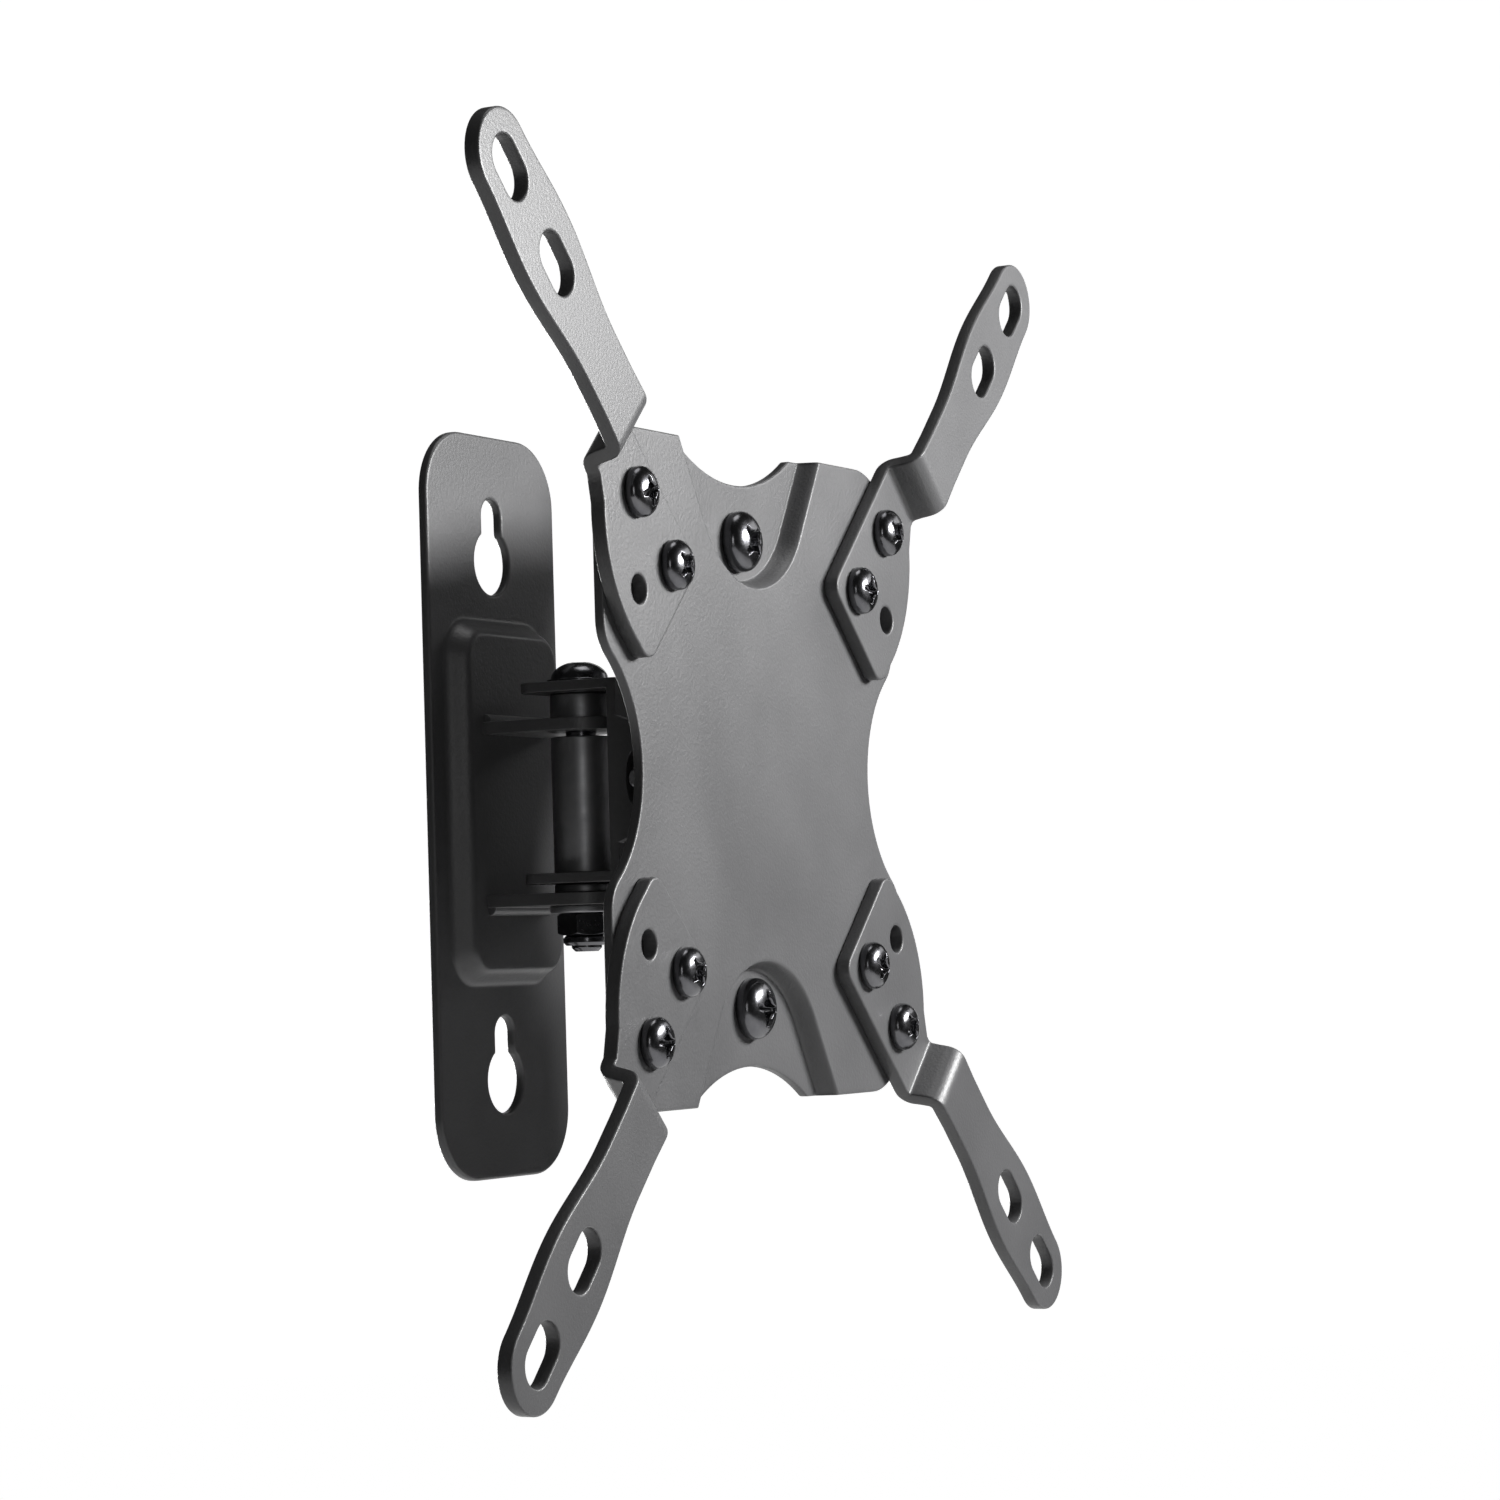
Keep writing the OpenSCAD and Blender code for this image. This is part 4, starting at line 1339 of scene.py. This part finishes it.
@dataclass
class Arm:
    """One of the four stepped arms, with its two screws and their nuts.

    Along the arm, places are measured from the foot's outer screw.

    Attributes:
        side, end: signs of its corner along X and Z.
        sheet: thickness.
        rim: radius of its broken edges.
        rise: how far the outer part stands in front of the foot.
        bend_at, bend_a, bend_r: where the step starts, and its bends' angle and inner radius.
        slot_ahead: how far the outer slot's middle lies beyond its screw's place.
        slot_step, slot_w, slot_l: distance between the slots, and their width and length.
        waist, wide: width at the step and at the widest place.
        neck_l, neck_in, neck_taper: length of the neck beyond the step, how much its half
            width is less than the step's, and over what length it gets so.
        wide_back: how far the widest place lies behind the outer slot, as a share of the
            distance between the slots.
        tip_reach, tip_r: the rounded tip beyond the outer slot.
        foot_w, foot_clear: width of the foot, and how far before the step it ends.
        foot_beyond: how far the foot reaches beyond its inner screw.
        foot_corner_r, foot_tip_r: radii of its two inner corners.
        flank: centre along and across, and radius, of its curved flank, as shares of the
            distance between its screws.
        flank_from, flank_to: angles of the flank's arc in degrees.
        head_d: diameter of the screws' heads.
        thread_from: depth behind their seats at which their threads show.
        cross_turns: angle of a screw's cross in degrees, and what the inner screw, the
            side and the end add to it.
        nut_edge: radius of the nuts' broken edges.
        name: the corner's name.
        mid_r, turned, straight: the bends' middle radius, the length of a bend and of the
            straight between them.
        run, stretch: length of the step seen from the front, and how much longer it is
            on the flat blank.
        outer_slot, tip_at: places of the outer slot and of the tip's centre.
        plate_face, middle: depth of the plate's front, and its middle height.
    """

    side: int
    end: int
    sheet: float = 3.0
    rim: float = 0.38
    rise: float = 6.4
    bend_at: float = 11.6
    bend_a: float = 75.0
    bend_r: float = 0.8
    slot_ahead: float = 1.5
    slot_step: float = 20.7
    slot_w: float = 8.0
    slot_l: float = 12.5
    waist: float = 14.4
    wide: float = 19.0
    neck_l: float = 14.0
    neck_in: float = 0.3
    neck_taper: float = 6.0
    wide_back: float = 0.8
    tip_reach: float = 2.8
    tip_r: float = 8.2
    foot_w: float = 15.0
    foot_clear: float = 1.0
    foot_beyond: float = 6.8
    foot_corner_r: float = 3.0
    foot_tip_r: float = 3.5
    flank: tuple[float, float, float] = (-0.915, 0.597, 1.73)
    flank_from: float = -43.0
    flank_to: float = -95.0
    head_d: float = 9.4
    thread_from: float = 6.5
    cross_turns: tuple[float, float, float, float] = (25.0, 33.0, 17.0, 8.0)
    nut_edge: float = 0.25

    def __post_init__(self) -> None:
        """Works out the step and reads where the plate's face stands."""
        self.name = f"{'top' if self.end > 0 else 'bottom'}_{'right' if self.side > 0 else 'left'}"
        self.mid_r = self.bend_r + self.sheet / 2
        a = math.radians(self.bend_a)
        self.straight = (self.rise - 2 * self.mid_r * (1 - math.cos(a))) / math.sin(a)
        self.run = 2 * self.mid_r * math.sin(a) + self.straight * math.cos(a)
        self.turned = self.mid_r * a
        self.stretch = 2 * self.turned + self.straight - self.run
        self.outer_slot = (OUTER_PITCH - INNER_PITCH) / 2 * math.sqrt(2) + self.slot_ahead
        self.tip_at = self.outer_slot + self.tip_reach
        low, high = node_box("tv_plate")
        self.plate_face = low.y
        self.middle = (low.z + high.z) / 2

    def half(self, u: float) -> float:
        """Works out half of the arm's width.

        Args:
            u: place along the arm, seen from the front.

        Returns:
            The half width.
        """
        step_end = self.bend_at + self.run
        neck_at = step_end + self.neck_l
        wide_at = self.outer_slot - self.wide_back * self.slot_step
        neck, wide = self.waist / 2 - self.neck_in, self.wide / 2
        if u < neck_at:
            taper = np.clip((u - step_end) / self.neck_taper, 0, 1)
            return self.waist / 2 - self.neck_in * float(taper)
        if u < wide_at:
            return neck + (wide - neck) * float(ease((u - neck_at) / (wide_at - neck_at)))
        return wide + (self.tip_r - wide) * float(ease((u - wide_at) / (self.tip_at - wide_at)))

    def outline(self) -> Loop:
        """Draws the folded arm's outline seen from the front.

        Returns:
            The closed loop, counter-clockwise.
        """
        stations = np.linspace(self.bend_at + self.run / 2, self.tip_at, 45)
        half, foot_at = self.foot_w / 2, self.bend_at - self.foot_clear
        foot_end, corner, tip = SCREW_STEP + self.foot_beyond, self.foot_corner_r, self.foot_tip_r
        x, y, r = (share * SCREW_STEP for share in self.flank)
        low = y + r * math.sin(math.radians(self.flank_to))
        points = ([(corner - foot_end, half), (foot_at, half)]
                  + [(u, self.half(u)) for u in stations]
                  + arc(self.tip_at, 0, self.tip_r, 90, -90, steps=28)
                  + [(u, -self.half(u)) for u in stations[::-1]]
                  + [(foot_at, -half)]
                  + arc(x, y, r, self.flank_from, self.flank_to, steps=20)
                  + arc(tip - foot_end, low + tip, tip, -90, -180, steps=8)
                  + arc(corner - foot_end, half - corner, corner, 180, 90, steps=8))
        return clean(np.array(points)[::-1])

    def flatten(self, loop: Loop) -> Loop:
        """Moves a loop seen on the folded arm to the flat blank.

        Args:
            loop: points along and across the folded arm.

        Returns:
            The points along and across the blank.
        """
        u = loop[:, 0]
        share = np.clip((u - self.bend_at) / self.run, 0, 1)
        return np.column_stack((u + share * self.stretch, loop[:, 1]))

    def fold(self, s: np.ndarray, y: np.ndarray) -> tuple[np.ndarray, np.ndarray]:
        """Folds the flat blank.

        Args:
            s: places along the blank.
            y: depths in the blank.

        Returns:
            Places along the folded arm, and depths.
        """
        off = self.sheet / 2 - (y + self.sheet)
        a = math.radians(self.bend_a)
        t = s - self.bend_at
        first = np.clip(t, 0, self.turned) / self.mid_r
        second = np.clip(t - self.turned - self.straight, 0, self.turned) / self.mid_r
        climb = np.clip(t - self.turned, 0, self.straight)
        angle = first - second
        # Middle line: an arc up, a straight climb, an arc back level, and the outer part.
        u = (np.minimum(t, 0) + self.mid_r * np.sin(first) + climb * math.cos(a)
             + self.mid_r * (math.sin(a) - np.sin(a - second))
             + np.maximum(t - 2 * self.turned - self.straight, 0))
        w = (self.mid_r * (1 - np.cos(first)) + climb * math.sin(a)
             + self.mid_r * (np.cos(a - second) - math.cos(a)))
        u = self.bend_at + u - off * np.sin(angle)
        w = self.sheet / 2 + w + off * np.cos(angle)
        return u, -w

    def place(self) -> Matrix:
        """Works out where the arm stands on its corner of the plate.

        Returns:
            The matrix, in metres.
        """
        corner = Vector((INNER_PITCH / 2, self.plate_face, INNER_PITCH / 2)) * MM
        turn = Matrix.Rotation(math.radians(-45), 4, "Y")
        mirror = Matrix.Diagonal((self.side, 1, self.end, 1))
        lift = Matrix.Translation((0, 0, self.middle * MM))
        return lift @ mirror @ Matrix.Translation(corner) @ turn

    def build(self) -> None:
        """Builds the arm, its screws and its nuts."""
        spare = SCREW_STEP / math.sqrt(2)
        holes = [circle(x, z, SCREW_HOLE / 2, steps=28)
                 for x, z in ((0, 0), (-SCREW_STEP, 0), (-spare, -spare))]
        holes += [self.flatten(obround(u, 0, self.slot_l, self.slot_w, steps=18))
                  for u in (self.outer_slot, self.outer_slot - self.slot_step)]
        # The lines across the bends begin and end a little beyond them.
        length, beyond = 2 * self.turned + self.straight, 0.06
        creases = [np.array(((at, -self.waist), (at, self.waist)))
                   for at in self.bend_at + length * np.linspace(-beyond, 1 + beyond, 24)]
        blank = Sheet(spread(self.flatten(self.outline()), step=2.5), holes, level(-self.sheet),
                      level(0.0), creases, self.rim)
        shell = blank.shell()
        bend_shell(shell, self.fold)
        mesh = shell.mesh("arm_" + self.name)
        mesh.transform(self.place())
        if self.side * self.end < 0:
            mesh.flip_normals()
        place_piece("stepped_arm_" + self.name, mesh, POWDER_COAT, Body.TV, "arm_" + self.name)
        self.build_screws()
        BrokenEdgePart("arm_nuts_" + self.name, BLACK_NICKEL, self.nut_edge).build()

    def cross_turn(self, k: int) -> float:
        """Angle in degrees at which the cross of screw k came to rest when it was tight."""
        first, inner, across, up = self.cross_turns
        return first + inner * k + across * self.side + up * self.end

    def build_screws(self) -> None:
        """Builds the two screws as one piece."""
        node, name = "arm_screws_" + self.name, "foot_screws_" + self.name
        low, high = node_box(node)
        seat = self.plate_face - self.sheet
        meshes = []
        for k in (0, 1):
            at = INNER_PITCH / 2 - k * SCREW_STEP / math.sqrt(2)
            screw = PanScrew(SCREW_D, self.head_d, seat - low.y, high.y - seat,
                             self.cross_turn(k), self.thread_from)
            spot = Vector((self.side * at, seat, self.middle + self.end * at)) * MM
            meshes.append(screw.mesh(f"screw_{k}", Matrix.Translation(spot)))
        place_piece(name, join_meshes(name, meshes), BLACK_NICKEL, Body.TV, node)


# ---------------------------------------------------------------------------
# Studio


@dataclass(frozen=True)
class Softbox:
    """A soft lamp.

    Attributes:
        name: the lamp's name.
        place, target: where it stands and what it points at, in metres.
        size: its width and height in metres.
        power: its power in watts.
        spread: the angle in degrees to which a grid over it narrows its beam.
    """

    name: str
    place: tuple[float, float, float]
    target: tuple[float, float, float]
    size: tuple[float, float]
    power: float
    spread: float = 180.0

    def build(self) -> None:
        """Adds the lamp to the scene."""
        data = bpy.data.lights.new(self.name, "AREA")
        data.shape = "RECTANGLE"
        data.size, data.size_y = self.size
        data.energy = self.power
        data.spread = math.radians(self.spread)
        lamp = bpy.data.objects.new(self.name, data)
        lamp.location = self.place
        aim = Vector(self.target) - Vector(self.place)
        lamp.rotation_euler = aim.to_track_quat("-Z", "Y").to_euler()
        lamp.visible_camera = False
        bpy.context.scene.collection.objects.link(lamp)


# The key is close in front of the plate, so that its satin coat mirrors it; the others
# draw the edges on the right, left, behind and above.
LAMPS = (
    Softbox("key_softbox", (0.235, -0.50, 0.165), (0.0, -0.05, 0.03), (0.24, 0.10), 5.7),
    Softbox("side_softbox", (0.95, -0.55, 0.40), (0.0, -0.05, 0.06), (0.5, 0.26), 0.75),
    Softbox("left_strip", (-0.84, -0.57, 0.06), (0.0, -0.03, 0.0), (0.10, 0.4), 0.55),
    Softbox("back_softbox", (0.45, 0.80, -0.16), (0.0, 0.0, 0.05), (0.5, 0.3), 0.6, 30.0),
    Softbox("top_softbox", (0.10, -0.10, 0.90), (0.0, -0.05, 0.0), (0.4, 0.4), 0.5, 100.0),
)


@dataclass
class Studio:
    """Pale floor and backdrop, soft lamps and the camera.

    Attributes:
        target: what the camera points at, in metres.
        azimuth, elevation, roll: the camera's angles in degrees.
        distance: how far it stands from the target, in metres.
        lens, sensor: its focal length and its sensor's width in millimetres.
        sight: nearest and farthest that it sees, in metres.
        floor_half, floor_z: half of the floor's side, and its height, in metres.
        drop_half, drop_top, drop_at: the backdrop's half width, its top and its distance
            behind the mount, in metres.
        paper_colour: colour of the floor and the backdrop under the lamps.
        glow: how brightly the paper shows to the camera near the mount and far from it.
        glow_reach: the distances at which those begin and end, in metres.
        dimness: strength of the world to all rays that don't come from the camera.
    """

    target: tuple[float, float, float] = (0.0242, -0.0460, 0.0126)
    azimuth: float = 61.52
    elevation: float = 2.86
    roll: float = -1.72
    distance: float = 0.8298
    lens: float = 100.0
    sensor: float = 36.0
    sight: tuple[float, float] = (0.01, 20.0)
    floor_half: float = 0.8
    floor_z: float = -0.32
    drop_half: float = 0.9
    drop_top: float = 1.2
    drop_at: float = 2.2
    paper_colour: str = "#b4b4b4"
    glow: tuple[float, float] = (0.72, 1.0)
    glow_reach: tuple[float, float] = (0.35, 0.8)
    dimness: float = 0.03

    def build(self) -> None:
        """Builds the room, the lamps and the camera."""
        self.build_floor()
        self.build_backdrop()
        self.build_world()
        for lamp in LAMPS:
            lamp.build()
        self.build_camera()

    def ahead(self) -> Vector:
        """Direction that the camera looks in."""
        a, e = math.radians(self.azimuth), math.radians(self.elevation)
        return Vector((math.sin(a) * math.cos(e), math.cos(a) * math.cos(e), math.sin(e)))

    def build_floor(self) -> None:
        """Lays a level square of paper under the mount."""
        half = self.floor_half
        self.stage("pale_floor", [(x * half, y * half, self.floor_z)
                                  for x, y in ((-1, -1), (1, -1), (1, 1), (-1, 1))])

    def build_backdrop(self) -> None:
        """Hangs paper behind the mount, square to the camera."""
        ahead = self.ahead()
        ahead.z = 0
        ahead.normalize()
        across = ahead.cross(Vector((0, 0, 1)))
        bottom, top = self.floor_z, self.drop_top
        self.stage("pale_backdrop",
                   [ahead * self.drop_at + across * (side * self.drop_half) + Vector((0, 0, z))
                    for side, z in ((-1, bottom), (1, bottom), (1, top), (-1, top))])

    def build_world(self) -> None:
        """Makes a world that is white to the camera and lights next to nothing."""
        world = bpy.data.worlds.new("studio")
        bpy.context.scene.world = world
        tree = empty_tree(world)
        rays = add_node(tree, "ShaderNodeLightPath")
        seen = add_node(tree, "ShaderNodeMath", {0: rays.outputs["Is Camera Ray"],
                                                 1: rays.outputs["Is Transmission Ray"]},
                        operation="MAXIMUM")
        dim, white = (add_node(tree, "ShaderNodeBackground",
                               {"Color": linear("#ffffff"), "Strength": strength})
                      for strength in (self.dimness, 1.0))
        mix = add_node(tree, "ShaderNodeMixShader", {SHARE: seen, FIRST: dim, SECOND: white})
        add_node(tree, "ShaderNodeOutputWorld", {"Surface": mix})

    def paper(self) -> bpy.types.Material:
        """Makes the paper: white to the camera and in metal, with its shadows, clear behind.

        Returns:
            The material.
        """
        name = "Matt white studio paper"
        known = bpy.data.materials.get(name)
        if known:
            return known
        material = bpy.data.materials.new(name)
        tree = empty_tree(material)
        rays = add_node(tree, "ShaderNodeLightPath")
        seen = rays.outputs["Is Camera Ray"]
        for other in ("Is Glossy Ray", "Is Transmission Ray"):
            seen = add_node(tree, "ShaderNodeMath", {0: seen, 1: rays.outputs[other]},
                            operation="MAXIMUM")
        paper = add_node(tree, "ShaderNodeBsdfDiffuse", {"Color": linear(self.paper_colour)})
        spot = add_node(tree, "ShaderNodeNewGeometry")
        reach = add_node(tree, "ShaderNodeVectorMath", {0: spot.outputs["Position"]},
                         operation="LENGTH")
        glow = add_node(tree, "ShaderNodeMapRange",
                        {"Value": reach.outputs["Value"],
                         "From Min": self.glow_reach[0], "From Max": self.glow_reach[1],
                         "To Min": self.glow[0], "To Max": self.glow[1]})
        white = add_node(tree, "ShaderNodeEmission",
                         {"Color": linear("#ffffff"), "Strength": glow})
        bright = add_node(tree, "ShaderNodeAddShader", {0: paper, 1: white})
        mix = add_node(tree, "ShaderNodeMixShader", {SHARE: seen, FIRST: paper, SECOND: bright})
        clear = add_node(tree, "ShaderNodeBsdfTransparent")
        sided = add_node(tree, "ShaderNodeMixShader",
                         {SHARE: spot.outputs["Backfacing"], FIRST: mix, SECOND: clear})
        add_node(tree, "ShaderNodeOutputMaterial", {"Surface": sided})
        return material

    def stage(self, name: str, corners: Sequence[Sequence[float]]) -> None:
        """Adds one rectangle of paper to the room.

        Args:
            name: its name.
            corners: its four corners in metres, in order round it.
        """
        mesh = bpy.data.meshes.new(name)
        mesh.from_pydata([tuple(corner) for corner in corners], [], [(0, 1, 2, 3)])
        mesh.materials.append(self.paper())
        thing = bpy.data.objects.new(name, mesh)
        bpy.context.scene.collection.objects.link(thing)

    def build_camera(self) -> None:
        """Adds the camera, low on the left and looking slightly up."""
        data = bpy.data.cameras.new("camera")
        data.lens = self.lens
        data.sensor_width = self.sensor
        data.clip_start, data.clip_end = self.sight
        camera = bpy.data.objects.new("camera", data)
        ahead = self.ahead()
        eye = Vector(self.target) - ahead * self.distance
        roll = Matrix.Rotation(math.radians(self.roll), 3, "Z")
        turn = ahead.to_track_quat("-Z", "Y").to_matrix() @ roll
        camera.matrix_world = Matrix.Translation(eye) @ turn.to_4x4()
        bpy.context.scene.collection.objects.link(camera)
        bpy.context.scene.camera = camera


def main() -> None:
    """Builds the mount and its studio."""
    logging.basicConfig(level=logging.INFO, format="%(name)s: %(message)s")
    Studio().build()
    WallSide().build()
    SwivelStack().build()
    TiltHinge().build()
    TvPlate().build()
    for side, end in ((-1, 1), (1, 1), (-1, -1), (1, -1)):
        Arm(side, end).build()
    bpy.context.scene.view_settings.view_transform = "Standard"


if __name__ == "__main__":
    main()
